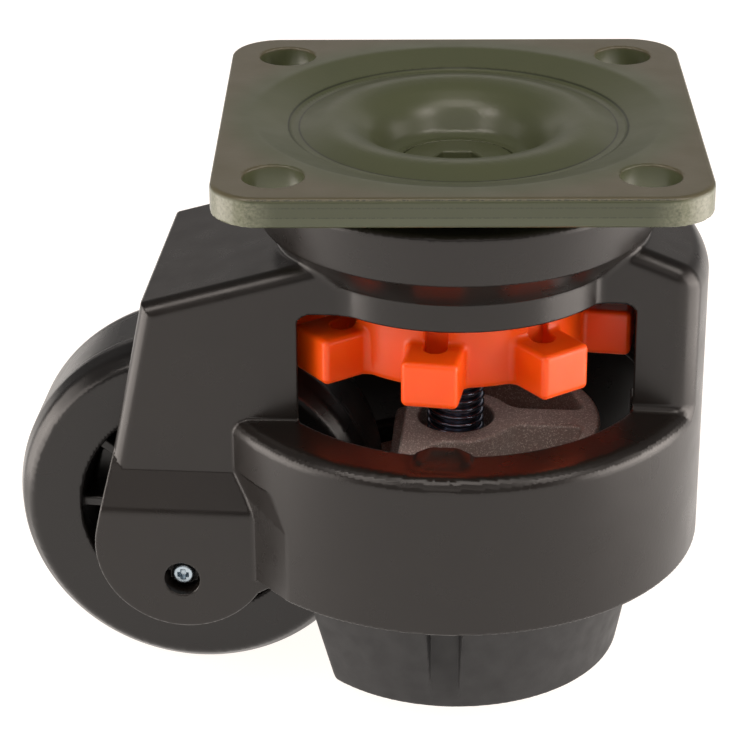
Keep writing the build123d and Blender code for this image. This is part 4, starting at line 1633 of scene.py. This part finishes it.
@dataclass
class TopPlate(Assembly):
    """The pressed square plate with its stamped middle, and the king bolt's head in the dish.

    Attributes:
        thickness: the sheet's thickness.
        corner: radius of the plate's corners.
        pitch: distance between two bolt holes.
        hole: a bolt hole's radius.
        dip: radius at which the stamped middle begins.
        dish_floor: depth of the dish under the bolt's head.
        dish_foot: depth of the collar under it.
        head_radius: radius of the bolt's head.
        head_depth: depth of its top.
        head_height: its height.
        socket_flats: the hexagon socket's size across the flats.
        socket_depth: its depth.
        shank: radius of the bolt's shank.
    """

    thickness: float = 5.8
    corner: float = 10.0
    pitch: float = 70.0
    hole: float = 5.75
    dip: float = 41.3
    dish_floor: float = 10.1
    dish_foot: float = 17.6
    head_radius: float = 11.6
    head_depth: float = 10.0
    head_height: float = 3.6
    socket_flats: float = 10.0
    socket_depth: float = 3.2
    shank: float = 6.0

    def middle(self) -> Distance:
        """The stamped middle: dip, groove, bulge over the balls, and the dish for the bolt."""
        hole = self.head_radius + 0.3
        return lathe(
            rounded(
                [
                    (self.dip + 1.0, 0.0, 0.0),
                    (self.dip - 0.6, 0.0, 5.0),
                    (33.7, -2.0, 0.5),
                    (32.8, -2.7, 0.4),
                    (31.3, -2.6, 0.8),
                    (25.4, -0.7, 8.0),
                    (21.0, -1.6, 8.0),
                    (17.0, -4.6, 9.0),
                    (14.5, -9.2, 2.4),
                    (13.0, -self.dish_floor, 1.0),
                    (hole, -self.dish_floor, 0.0),
                    (hole, -self.dish_foot, 0.0),
                    (16.2, -self.dish_foot, 0.8),
                    (16.2, -11.0, 1.0),
                    (20.5, -6.4, 1.0),
                    (29.6, -6.4, 1.0),
                    (33.5, -7.9, 1.5),
                    (self.dip - 0.5, -self.thickness, 6.0),
                    (self.dip + 1.0, -self.thickness, 0.0),
                ]
            )
        )

    def plate(self) -> Distance:
        """The whole plate."""
        half = self.sizes.plate_side / 2
        corners = ((-half, -half), (half, -half), (half, half), (-half, half))
        square = rounded([(x, y, self.corner) for x, y in corners], 24)
        slab = prism(square, Axis.Z, -self.thickness, 30.0)
        slab = common(slab, below(0.0), 0.9)
        slab = common(slab, above(-self.thickness), 0.35)
        slab = cut(slab, post(self.dip + 0.8))
        return cut(join(slab, self.middle()), self.holes(), 0.4)

    def holes(self) -> Distance:
        """The four bolt holes."""
        place = self.pitch / 2

        def form(p: Points) -> np.ndarray:
            """The distances of points from the solid."""
            return np.hypot(np.abs(p[:, 0]) - place, np.abs(p[:, 1]) - place) - self.hole

        return form

    def bolt(self) -> Distance:
        """The king bolt with its flat head and hexagon socket."""
        seat = -self.head_depth - self.head_height
        head = lathe(
            rounded(
                [
                    (-3.0, -self.head_depth, 0.0),
                    (-3.0, -self.sizes.bolt_bottom, 0.0),
                    (self.shank, -self.sizes.bolt_bottom, 0.8),
                    (self.shank, seat, 0.0),
                    (self.head_radius, seat, 0.0),
                    (self.head_radius, -self.head_depth, 0.6),
                ]
            )
        )
        floor, mouth = -self.head_depth - self.socket_depth, -self.head_depth + 3.0
        socket = prism(hexagon(self.socket_flats, 0.9), Axis.Z, floor, mouth)
        return cut(head, socket, 0.5)

    def build(self, shop: Workshop) -> None:
        """Meshes the plate and the bolt."""
        half = self.sizes.plate_side / 2
        low, high = (-half, -half, -17.7), (half, half, 0.0)
        plate = shop.caster.mesh("pressed_plate", self.plate(), low, high, 0.53, 198000, False)
        reach, foot = self.head_radius, -self.sizes.bolt_bottom
        low, high = (-reach, -reach, foot), (reach, reach, -9.9)
        bolt = shop.caster.mesh("king_bolt", self.bolt(), low, high, 0.3, 60000, False)
        self.pieces |= {"plate": plate, "bolt": bolt}

    def dress(self, shop: Workshop) -> None:
        """Paints plate and bolt in one coat, and oils the cup that turns under them."""
        shop.fit(self.pieces["plate"], Body.PLATE, Slot.OLIVE_COAT, ["top_plate"])
        shop.fit(self.pieces["bolt"], Body.PLATE, Slot.OLIVE_COAT, ["king_bolt"])
        shop.dress_node("lower_cup", Slot.DARK_STEEL)


@dataclass
class Dial(Assembly):
    """The star-shaped dial that is turned by hand or with a stick.

    Attributes:
        tip: how far out the lugs reach.
        root: radius of the hub between them.
        crown: how far the hub rises over the lugs.
        crown_inner: inner radius of the hub's raised ring.
        lugs: how many lugs there are.
        lug_width: width of a lug.
        first_lug: the direction of one of them, in degrees.
        pocket_width: width of the pocket in a lug.
        pocket_depth: its depth.
        bore: radius of the hole for the screw.
    """

    tip: float = 36.0
    root: float = 26.8
    crown: float = 4.2
    crown_inner: float = 15.0
    lugs: int = 8
    lug_width: float = 11.2
    first_lug: float = -95.4
    pocket_width: float = 4.6
    pocket_depth: float = 5.5
    bore: float = 6.1

    def solid(self) -> Distance:
        """The moulding: a hub, its lugs with their pockets, and the bore."""
        top, bottom = -self.sizes.dial_top, -self.sizes.dial_bottom
        half = self.lug_width / 2
        root = half + 0.2
        outline = rounded(
            [(0.0, -root, 0.0), (self.tip, -half, 1.2), (self.tip, half, 1.2), (0.0, root, 0.0)]
        )
        lug = prism(outline, Axis.Z, bottom - 5.0, top + 5.0)
        ring = repeated_round(lug, self.lugs, self.first_lug)
        lugs = common(ring, below(top), 1.1)
        core = common(post(self.root), below(top + self.crown), 0.8)
        body = join(lugs, core, 1.2)
        body = common(body, above(bottom), 1.3)
        body = cut(body, common(post(self.crown_inner), above(top)), 0.5)
        inner, outer, side = self.root - 1.5, self.tip - 5.4, self.pocket_width / 2
        outline = rounded(
            [
                (inner, -side, 0.3),
                (outer, -side, side - 0.1),
                (outer, side, side - 0.1),
                (inner, side, 0.3),
            ]
        )
        pocket = prism(outline, Axis.Z, top - self.pocket_depth, top + 4.0)
        body = cut(body, repeated_round(pocket, self.lugs, self.first_lug), 0.35)
        return cut(body, post(self.bore), 0.4)

    def build(self, shop: Workshop) -> None:
        """Meshes the dial."""
        reach = self.tip + 0.6
        low = (-reach, -reach, -self.sizes.dial_bottom)
        high = (reach, reach, -self.sizes.dial_top + self.crown)
        self.pieces["dial"] = shop.caster.mesh("dial_moulding", self.solid(), low, high, 0.4, 120000)

    def dress(self, shop: Workshop) -> None:
        """Leaves the dial in its self-coloured nylon."""
        shop.fit(self.pieces["dial"], Body.DIAL, Slot.RED_NYLON, ["adjusting_dial"])


@dataclass
class LevellingScrew(Assembly):
    """The threaded spindle that the dial turns, with its journal, collar and clips.

    Attributes:
        journal: radius of the plain ends.
        root: radius at the thread's root.
        crest: radius at its crest.
        groove: radius at the bottom of a clip's groove.
        clip: width of such a groove.
        end_land: length of the plain end below the lower groove.
        collar_flats: the hexagon collar's size across the flats.
        collar_bottom: depth of its lower face.
        pitch: the thread's pitch.
        turns: how many turns it has.
        thread_steps: how many chords make one turn.
        foot_share: width of the thread's ridge at its foot, as a share of the pitch.
        crest_share: its width at the crest.
    """

    journal: float = 5.0
    root: float = 5.05
    crest: float = 5.97
    groove: float = 4.0
    clip: float = 1.1
    end_land: float = 0.9
    collar_flats: float = 19.0
    collar_bottom: float = 44.0
    pitch: float = 1.75
    turns: int = 36
    thread_steps: int = 72
    foot_share: float = 0.86
    crest_share: float = 0.16

    def core(self) -> Distance:
        """The spindle without its thread."""
        top, bottom = -self.sizes.screw_top, -self.sizes.screw_bottom
        neck, shoulder = -self.sizes.thrust_top, -self.sizes.collar_top
        land = bottom + self.end_land
        spindle = lathe(
            rounded(
                [
                    (-3.0, top, 0.0),
                    (-3.0, bottom, 0.0),
                    (self.journal, bottom, 0.6),
                    (self.journal, land, 0.0),
                    (self.groove, land, 0.0),
                    (self.groove, land + self.clip, 0.0),
                    (self.root, land + self.clip, 0.3),
                    (self.root, shoulder, 0.0),
                    (self.journal, shoulder, 0.0),
                    (self.journal, neck, 0.0),
                    (self.groove, neck, 0.0),
                    (self.groove, neck + self.clip, 0.0),
                    (self.journal, neck + self.clip, 0.0),
                    (self.journal, top, 0.5),
                ]
            )
        )
        outline = hexagon(self.collar_flats, 0.4)
        collar = prism(outline, Axis.Z, -self.collar_bottom, shoulder, 0.4)
        return join(spindle, collar, 0.2)

    def build(self, shop: Workshop) -> None:
        """Meshes the spindle and winds its thread."""
        reach = self.collar_flats / math.sqrt(3) + 0.2
        low = (-reach, -reach, -self.sizes.screw_bottom)
        high = (reach, reach, -self.sizes.screw_top)
        spindle = shop.caster.mesh("levelling_screw", self.core(), low, high, 0.35, 60000)
        grow(
            spindle,
            thread_tree(),
            {
                "Pitch": self.pitch * MM,
                "Turns": float(self.turns),
                "Root Radius": self.root * MM,
                "Crest Radius": self.crest * MM,
                "Foot Share": self.foot_share,
                "Crest Share": self.crest_share,
                "Steps": self.thread_steps,
                "Bottom": (-self.collar_bottom - self.pitch * self.turns) * MM,
                "Finish": shop.materials[Slot.SCREW_STEEL],
            },
        )
        self.pieces["spindle"] = spindle

    def dress(self, shop: Workshop) -> None:
        """Blackens the spindle; washer and clips stay bright."""
        shop.fit(self.pieces["spindle"], Body.DIAL, Slot.SCREW_STEEL, ["levelling_screw"])
        for name in ("thrust_washer", "screw_clip", "end_clip"):
            shop.dress_node(name, Slot.BRIGHT_STEEL)


@dataclass
class Wheel(Assembly):
    """The moulded wheel: a broad rim with soft shoulders, side recesses with ribs, and a hub.

    Attributes:
        half_width: half the wheel's width.
        tread: half the width of the tread's flat.
        side_radius: radius at which the rim's sides turn into the shoulders.
        rim: inner radius of the rim.
        bore: radius of the hole for bushes and axle.
        hub: the hub's radius.
        web: half the thickness of the web between hub and rim.
        ribs: how many ribs there are.
        rib_width: width of a rib.
        rib_inset: how far the ribs lie inside the sides.
    """

    half_width: float = 14.6
    tread: float = 8.2
    side_radius: float = 33.4
    rim: float = 23.6
    bore: float = 6.6
    hub: float = 10.5
    web: float = 3.5
    ribs: int = 10
    rib_width: float = 2.2
    rib_inset: float = 2.5

    def turned_form(self) -> Distance:
        """The wheel without its ribs, lying flat with its axle along Z."""
        radius = self.sizes.wheel_radius
        half = lathe(
            rounded(
                [
                    (self.bore, -1.0, 0.0),
                    (self.bore, self.half_width, 0.0),
                    (self.hub, self.half_width, 0.6),
                    (self.hub + 0.8, self.web, 1.0),
                    (self.rim - 0.8, self.web, 1.0),
                    (self.rim, self.half_width, 0.8),
                    (self.side_radius + 0.8, self.half_width, 2.4),
                    (self.side_radius + 3.1, self.half_width - 2.8, 4.0),
                    (radius, self.tread, 4.0),
                    (radius, -1.0, 0.0),
                ]
            )
        )
        return lambda p: half(np.column_stack((p[:, 0], p[:, 1], np.abs(p[:, 2]))))

    def rib(self) -> Distance:
        """One rib across both side recesses."""
        inner, outer, half = self.hub - 1.0, self.rim + 1.0, self.rib_width / 2
        outline = [(inner, -half), (outer, -half), (outer, half), (inner, half)]
        height = self.half_width - self.rib_inset
        return prism(outline, Axis.Z, -height, height, 0.5)

    def build(self, shop: Workshop) -> None:
        """Meshes the wheel, sets its ribs round the hub, and stands it on its axle."""
        radius, side, half = self.sizes.wheel_radius, self.half_width, self.rib_width / 2
        low, high = (-radius, -radius, -side), (radius, radius, side)
        form = self.turned_form()
        wheel = shop.caster.mesh("wheel_moulding", form, low, high, 0.65, 150000, False)
        low, high = (self.hub - 1.0, -half, -side), (self.rim + 1.0, half, side)
        rib = shop.caster.mesh("wheel_rib", self.rib(), low, high, 0.35, 4000, False)
        finish = shop.materials[Slot.BLACK_NYLON]
        grow(wheel, ring_tree(), {"Piece": rib, "Count": self.ribs, "Finish": finish})
        bpy.data.objects.remove(rib)
        stand = Matrix.Rotation(math.radians(90.0), 4, "X")
        place = Matrix.Translation((-self.sizes.wheel_offset * MM, 0.0, -self.sizes.axle_depth * MM))
        swivel = Matrix.Rotation(math.radians(self.sizes.swivel), 4, "Z")
        wheel.data.transform(swivel @ place @ stand)
        self.pieces["wheel"] = wheel

    def dress(self, shop: Workshop) -> None:
        """Leaves the wheel in its nylon, on bright bushes."""
        shop.fit(self.pieces["wheel"], Body.WHEEL, Slot.BLACK_NYLON, ["wheel"])
        shop.dress_node("wheel_bushes", Slot.BRIGHT_STEEL)


@dataclass
class Foot(Assembly):
    """The foot: a cast frame that climbs the screw, and the pad moulded under it.

    Attributes:
        frame_radius: radius of the frame's rim.
        rim_inner: radius at which its pockets end.
        boss: radius of the boss round the screw.
        bore: radius of the hole for the screw.
        left_edge: how far back the frame's upper part reaches.
        step_edge: how far back its lower part reaches.
        step_depth: depth of the step between them.
        flange: radius of the flange that the pad hangs from.
        flange_height: its height.
        pocket_depth: depth of the pockets.
        mouth: radius of the wider mouth of the hole.
        mouth_depth: its depth.
        sole_radius: radius of the pad's sole.
        taper: how much the pad's radius grows for each millimetre up.
        wheel_side: how far back the pad's sole reaches, beside the wheel.
        wheel_lean: how much that side leans back for each millimetre up.
        lip: how far the pad's lip rises over its top.
        lip_radius: the lip's outer radius.
        lip_width: its thickness.
        screw_room: radius and height of the room in the pad under the screw.
        recess: radius of the holes for the pad's screws.
        recess_place: where they are, forwards and to both sides.
        recess_height: how high over the sole they end.
        wheel_gap: radius of the room kept round the wheel's axle.
        wheel_side_gap: half its width.
        travel: how far the foot moves up and down from rest.
    """

    frame_radius: float = 30.0
    rim_inner: float = 26.8
    boss: float = 12.2
    bore: float = 6.1
    left_edge: float = -10.8
    step_edge: float = -14.4
    step_depth: float = 78.0
    flange: float = 34.0
    flange_height: float = 4.0
    pocket_depth: float = 15.0
    mouth: float = 7.8
    mouth_depth: float = 4.5
    sole_radius: float = 34.7
    taper: float = 0.19
    wheel_side: float = -23.5
    wheel_lean: float = 0.277
    lip: float = 7.0
    lip_radius: float = 39.2
    lip_width: float = 3.5
    screw_room: tuple[float, float] = (9.0, 20.9)
    recess: float = 4.55
    recess_place: tuple[float, float] = (17.5, 15.5)
    recess_height: float = 12.0
    wheel_gap: float = 38.7
    wheel_side_gap: float = 16.6
    travel: tuple[float, float] = (-1.75, 15.75)

    def wheel_room(self) -> Distance:
        """The room beside the foot that the wheel keeps over the foot's travel."""
        x, z = -self.sizes.wheel_offset, -self.sizes.axle_depth
        low, high = z + self.travel[0], z + self.travel[1]

        def form(p: Points) -> np.ndarray:
            """The distances of points from the solid."""
            height = p[:, 2] - np.clip(p[:, 2], low, high)
            off_axis = np.hypot(p[:, 0] - x, height) - self.wheel_gap
            return np.maximum(off_axis, np.abs(p[:, 1]) - self.wheel_side_gap)

        return form

    def frame(self) -> Distance:
        """The cast frame with its boss, arm, rim and pockets."""
        top, base = -self.sizes.frame_top, -self.sizes.pad_top
        disc = post(self.frame_radius)
        upper = common(disc, ahead_of(self.left_edge), 1.5)
        lower = common(disc, ahead_of(self.step_edge), 1.5)
        lower = common(lower, below(-self.step_depth), 0.8)
        block = cut(join(upper, lower, 0.8), self.pockets(), 0.8)
        block = common(block, below(top), 0.8)
        block = common(block, above(base))
        half = self.flange_height / 2
        flange = common(post(self.flange), ahead_of(-24.0))
        flange = common(flange, lambda p: np.abs(p[:, 2] - base - half) - half, 0.6)
        body = cut(join(block, flange, 1.0), self.wheel_room(), 0.8)
        body = cut(body, post(self.bore))
        mouth = common(post(self.mouth), above(top - self.mouth_depth))
        return cut(body, mouth, 0.6)

    def pockets(self) -> Distance:
        """The two deep pockets between boss, arm and rim."""
        ring = cut(post(self.rim_inner), post(self.boss), 1.5)
        out, side = 30.0, 26.5
        near = [(0.0, -3.3), (-3.5, -12.6), (-12.0, -side), (out, -side), (out, -3.3)]
        far = [(0.0, 4.6), (-7.7, 12.0), (-7.7, side), (out, side), (out, 4.6)]
        sides = join(prism(near, Axis.Z, -200.0, 0.0), prism(far, Axis.Z, -200.0, 0.0))
        floor = above(-self.sizes.frame_top - self.pocket_depth)
        return common(common(ring, sides, 2.2), floor, 1.0)

    def pad(self) -> Distance:
        """The pad: a cone with a flat beside the wheel and guide slots."""
        top, sole = -self.sizes.pad_top, -self.sizes.pad_bottom
        height = top - sole
        cone = lathe(
            rounded(
                [
                    (-5.0, top, 0.0),
                    (-5.0, sole, 0.0),
                    (self.sole_radius, sole, 1.0),
                    (self.sole_radius + self.taper * height, top, 0.6),
                ]
            )
        )
        flat = half_space((self.wheel_side, 0.0, sole), (-1.0, 0.0, -self.wheel_lean))
        body = common(cone, flat, 1.0)
        inner, outer = self.lip_radius - self.lip_width, self.lip_radius
        foot, rim = top - 2.0, top + self.lip
        lip = rounded([(inner, foot, 0.0), (outer, foot, 0.0), (outer, rim, 0.6), (inner, rim, 0.6)])
        body = join(body, common(lathe(lip), flat, 0.6), 0.6)
        body = cut(body, self.wheel_room(), 0.6)
        body = cut(body, self.guide_slots(), 0.25)
        radius, height = self.screw_room
        body = cut(body, common(post(radius), above(top - height)))
        recesses = mirrored(rod(self.recess_place, self.recess, Axis.Z))
        return cut(body, common(recesses, below(sole + self.recess_height)), 0.3)

    def guide_slots(self) -> Distance:
        """The upright slots that run on the ribs in the drum."""
        outline = [(35.3, -2.8), (50.0, -7.0), (50.0, 7.0), (35.3, 2.8)]
        slot = prism(outline, Axis.Z, -200.0, 0.0)
        return common(repeated_round(slot, 4, 0.0), ahead_of(-10.0))

    def build(self, shop: Workshop) -> None:
        """Meshes frame and pad."""
        top, base, sole = -self.sizes.frame_top, -self.sizes.pad_top, -self.sizes.pad_bottom
        reach = self.flange
        low, high = (-26.0, -reach, base), (reach, reach, top)
        frame = shop.caster.mesh("foot_frame_casting", self.frame(), low, high, 0.45, 120000)
        reach = self.lip_radius + 0.3
        low, high = (-31.0, -reach, sole), (reach, reach, base + self.lip)
        pad = shop.caster.mesh("foot_pad_moulding", self.pad(), low, high, 0.6, 90000)
        self.pieces |= {"frame": frame, "pad": pad}

    def dress(self, shop: Workshop) -> None:
        """Leaves the frame raw and the pad in its rubber."""
        shop.fit(self.pieces["frame"], Body.FOOT, Slot.GREY_CASTING, ["foot_frame"])
        shop.fit(self.pieces["pad"], Body.FOOT, Slot.BLACK_RUBBER, ["foot_pad"])


@dataclass
class Screws(Assembly):
    """The small screws: one below the axle in each lobe, and two up through the pad.

    Attributes:
        lock_head: head radius of the screws in the lobes.
        lock_crown: height of their heads.
        lock_shank: radius of their shanks.
        lock_length: length of the shanks.
        lock_place: where the seat of the one at +Y is.
        cross_width: half the width of a wing of their cross recess.
        cross_reach: how far out the wings reach at the top.
        cross_floor: how high over the seat the recess ends.
        pad_head: head radius of the screws in the pad.
        pad_crown: height of their heads.
        pad_shank: radius of their shanks.
        pad_length: length of the shanks.
        pad_place: where the seat of the one at +Y is.
        socket_flats: size of their hexagon socket across the flats.
        socket_floor: how high over the seat it ends.
    """

    lock_head: float = 2.3
    lock_crown: float = 1.5
    lock_shank: float = 1.65
    lock_length: float = 8.5
    lock_place: tuple[float, float, float] = (-53.9, 27.0, -90.8)
    cross_width: float = 0.36
    cross_reach: float = 1.25
    cross_floor: float = 0.35
    pad_head: float = 4.25
    pad_crown: float = 4.0
    pad_shank: float = 2.5
    pad_length: float = 17.7
    pad_place: tuple[float, float, float] = (17.5, 15.5, -104.2)
    socket_flats: float = 4.0
    socket_floor: float = 1.8

    def lock_screw(self) -> Distance:
        """A pan head screw with a cross recess, its seat at the origin and its head up."""
        screw = lathe(
            rounded(
                [
                    (-2.0, -self.lock_length, 0.0),
                    (self.lock_shank, -self.lock_length, 0.3),
                    (self.lock_shank, 0.0, 0.0),
                    (self.lock_head, 0.0, 0.3),
                    (self.lock_head - 0.1, 1.35, 0.6),
                    (-2.0, self.lock_crown, 0.0),
                ]
            )
        )
        return cut(screw, self.cross_recess(), 0.08)

    def cross_recess(self) -> Distance:
        """The cross recess in a head: two tapered slots at right angles."""
        side = half_space((0.0, self.cross_width, 0.0), (0.0, 1.0, -0.12))
        end = half_space((self.cross_reach, 0.0, self.lock_crown), (1.0, 0.0, -0.6))
        wing = common(common(side, end, 0.1), above(self.cross_floor))

        def along(p: Points) -> np.ndarray:
            """The distances of points from the slot along X."""
            return wing(np.column_stack((np.abs(p[:, 0]), np.abs(p[:, 1]), p[:, 2])))

        def across(p: Points) -> np.ndarray:
            """The distances of points from the slot along Y."""
            return along(p[:, [1, 0, 2]])

        return join(along, across, 0.15)

    def pad_screw(self) -> Distance:
        """A cap screw with a hexagon socket, its seat at the origin and its head up."""
        screw = lathe(
            rounded(
                [
                    (-2.0, -self.pad_length, 0.0),
                    (self.pad_shank, -self.pad_length, 0.4),
                    (self.pad_shank, 0.0, 0.0),
                    (self.pad_head, 0.0, 0.3),
                    (self.pad_head, self.pad_crown, 0.5),
                    (-2.0, self.pad_crown, 0.0),
                ]
            )
        )
        outline = hexagon(self.socket_flats, 0.1, 2)
        socket = prism(outline, Axis.Z, self.socket_floor, self.pad_crown + 2.0)
        return cut(screw, socket, 0.25)

    def set_twice(
        self,
        shop: Workshop,
        name: str,
        one: bpy.types.Object,
        place: tuple[float, float, float],
        turns: tuple[float, float],
    ) -> bpy.types.Object:
        """Sets a screw on both sides of the wheel's plane and removes the loose one.

        Args:
            shop: the workshop.
            name: the pair's name.
            one: the screw, with its seat at the origin and its head up.
            place: where the seat of the one at +Y is.
            turns: how far the one at +Y and the other are turned about X, in radians.

        Returns:
            The pair, turned with the housing.
        """
        pair = bpy.data.objects.new(name, bpy.data.meshes.new(name))
        bpy.context.scene.collection.objects.link(pair)
        x, y, z = (part * MM for part in place)
        first, second = turns
        grow(
            pair,
            pair_tree(),
            {
                "Piece": one,
                "First Place": (x, y, z),
                "First Turn": (first, 0.0, 0.0),
                "Second Place": (x, -y, z),
                "Second Turn": (second, 0.0, 0.0),
                "Finish": shop.materials[Slot.ZINC],
            },
        )
        bpy.data.objects.remove(one)
        pair.data.transform(Matrix.Rotation(math.radians(self.sizes.swivel), 4, "Z"))
        return pair

    def build(self, shop: Workshop) -> None:
        """Meshes one screw of each kind and sets it twice."""
        cell, faces = 0.12, 16000
        quarter = math.radians(90.0)
        reach = self.lock_head
        low, high = (-reach, -reach, -self.lock_length), (reach, reach, self.lock_crown)
        form = self.lock_screw()
        one = shop.caster.mesh("axle_lock_screws_one", form, low, high, cell, faces, False)
        turns = (-quarter, quarter)
        pair = self.set_twice(shop, "axle_lock_screws", one, self.lock_place, turns)
        self.pieces["lock_screws"] = pair
        reach = self.pad_head
        low, high = (-reach, -reach, -self.pad_length), (reach, reach, self.pad_crown)
        form = self.pad_screw()
        one = shop.caster.mesh("pad_cap_screws_one", form, low, high, cell, faces, False)
        turns = (2 * quarter, 2 * quarter)
        pair = self.set_twice(shop, "pad_cap_screws", one, self.pad_place, turns)
        self.pieces["pad_screws"] = pair

    def dress(self, shop: Workshop) -> None:
        """Plates the screws."""
        shop.fit(self.pieces["lock_screws"], Body.HOUSING, Slot.ZINC, ["axle_screws"])
        shop.fit(self.pieces["pad_screws"], Body.FOOT, Slot.ZINC, ["pad_screws"])


# ---- light, floor and camera -----------------------------------------------------------------


@dataclass(frozen=True)
class Softbox:
    """A lamp behind a sheet of diffusing cloth.

    Attributes:
        name: the lamp's name.
        place: where it hangs, in metres.
        width: its width, in metres.
        height: its height.
        glow: its brightness; white paper in full light is 1.
        colour: its colour.
    """

    name: str
    place: tuple[float, float, float]
    width: float
    height: float
    glow: float
    colour: str = "FFF4EC"

    def hang(self, target: Vector) -> None:
        """Adds the lamp, aimed at a target."""
        light = bpy.data.lights.new(self.name, "AREA")
        light.shape = "RECTANGLE"
        light.size = self.width
        light.size_y = self.height
        light.energy = self.glow * math.pi * self.width * self.height
        light.color = linear(self.colour)[:3]
        lamp = bpy.data.objects.new(self.name, light)
        lamp.location = self.place
        lamp.rotation_euler = (target - Vector(self.place)).to_track_quat("-Z", "Y").to_euler()
        bpy.context.scene.collection.objects.link(lamp)


@dataclass
class Studio:
    """The pale floor, the softboxes and the camera.

    Attributes:
        sizes: the castor's sizes.
        camera_place: where the camera stands, in millimetres.
        yaw: how far it looks left of straight ahead, in degrees.
        pitch: how far it looks down.
        roll: how far it leans.
        lens: its focal length on a 36 mm wide sensor.
        surround: brightness of the room.
        paper: brightness of the floor's own glow, lit through from below.
        floor_reach: how far the floor runs from the middle, in metres.
        softboxes: the lamps.
    """

    sizes: Sizes
    camera_place: tuple[float, float, float] = (-11.0, -487.3, 173.5)
    yaw: float = 0.843
    pitch: float = 25.193
    roll: float = 0.428
    lens: float = 127.65
    surround: float = 0.15
    paper: float = 1.04
    floor_reach: float = 3.0
    softboxes: tuple[Softbox, ...] = (
        Softbox("left_softbox", (-0.9, -0.2, 0.1), 0.9, 0.42, 2.8),
        Softbox("right_softbox", (0.9, -0.15, 0.1), 0.9, 0.42, 4.4),
        Softbox("upper_left_softbox", (-0.62, -0.5, 0.8), 0.4, 0.4, 5.5),
        Softbox("upper_right_softbox", (0.62, -0.5, 0.8), 0.4, 0.4, 5.5),
        Softbox("top_softbox", (0.0, -0.35, 1.0), 0.7, 0.28, 4.5),
        Softbox("front_fill", (0.0, -1.6, 1.0), 1.6, 0.8, 0.9),
        Softbox("back_fill", (0.0, 1.5, 0.55), 2.2, 0.55, 0.38),
        Softbox("left_floor_glow", (-0.195, -0.03, -0.1205), 0.15, 0.18, 3.2),
        Softbox("right_floor_glow", (0.185, -0.03, -0.1205), 0.17, 0.2, 3.2),
    )

    def set_camera(self) -> None:
        """Adds the camera."""
        yaw, pitch, roll = (math.radians(angle) for angle in (self.yaw, self.pitch, self.roll))
        level = math.cos(pitch)
        ahead = Vector((-math.sin(yaw) * level, math.cos(yaw) * level, -math.sin(pitch)))
        right = Vector((math.cos(yaw), math.sin(yaw), 0.0))
        down = ahead.cross(right)
        across = right * math.cos(roll) + down * math.sin(roll)
        below = down * math.cos(roll) - right * math.sin(roll)
        stand = Matrix((across, -below, -ahead)).transposed().to_4x4()
        stand.translation = Vector(self.camera_place) * MM
        view = bpy.data.cameras.new("camera")
        view.sensor_width = 36.0
        view.lens = self.lens
        camera = bpy.data.objects.new("camera", view)
        camera.matrix_world = stand
        bpy.context.scene.collection.objects.link(camera)
        bpy.context.scene.camera = camera

    def lay_floor(self) -> None:
        """Lays the plain pale floor that the wheel stands on."""
        level, reach = -self.sizes.ground * MM, self.floor_reach
        mesh = bpy.data.meshes.new("floor")
        around = ((-reach, -reach), (reach, -reach), (reach, reach), (-reach, reach))
        corners = [(x, y, level) for x, y in around]
        mesh.from_pydata(corners, [], [(0, 1, 2, 3)])
        floor = bpy.data.objects.new("floor", mesh)
        bpy.context.scene.collection.objects.link(floor)
        # Matt white paper, lit from behind until it shows no shade of its own.
        paper = bpy.data.materials.new("white_paper")
        paper.use_nodes = True
        shader = paper.node_tree.nodes["Principled BSDF"]
        shader.inputs["Base Color"].default_value = linear("8A8A8A")
        shader.inputs["Roughness"].default_value = 0.9
        shader.inputs["Specular IOR Level"].default_value = 0.0
        shader.inputs["Emission Color"].default_value = linear("FFF8F2")
        shader.inputs["Emission Strength"].default_value = self.paper
        mesh.materials.append(paper)

    def build(self) -> None:
        """Sets camera, floor, room and lamps."""
        scene = bpy.context.scene
        scene.view_settings.view_transform = "Standard"
        scene.view_settings.exposure = 0.0
        self.set_camera()
        self.lay_floor()
        room = bpy.data.worlds.new("studio")
        room.use_nodes = True
        backdrop = room.node_tree.nodes["Background"]
        backdrop.inputs["Color"].default_value = (1.0, 1.0, 1.0, 1.0)
        backdrop.inputs["Strength"].default_value = self.surround
        scene.world = room
        target = Vector((0.0, 0.0, -self.sizes.ground / 2 * MM))
        for softbox in self.softboxes:
            softbox.hang(target)


def main() -> None:
    """Builds the castor round its frame."""
    logging.basicConfig(level=logging.INFO, format="%(name)s: %(message)s")
    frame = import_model()
    sizes = Sizes.of_frame(frame)
    materials = {slot: finish.material() for slot, finish in FINISHES.items()}
    shop = Workshop(Caster(sizes.swivel), frame["nodes"], materials)
    Studio(sizes).build()
    for assembly in (
        TopPlate(sizes),
        Housing(sizes),
        Wheel(sizes),
        Dial(sizes),
        LevellingScrew(sizes),
        Foot(sizes),
        Screws(sizes),
    ):
        assembly.build(shop)
        assembly.dress(shop)


if __name__ == "__main__":
    main()
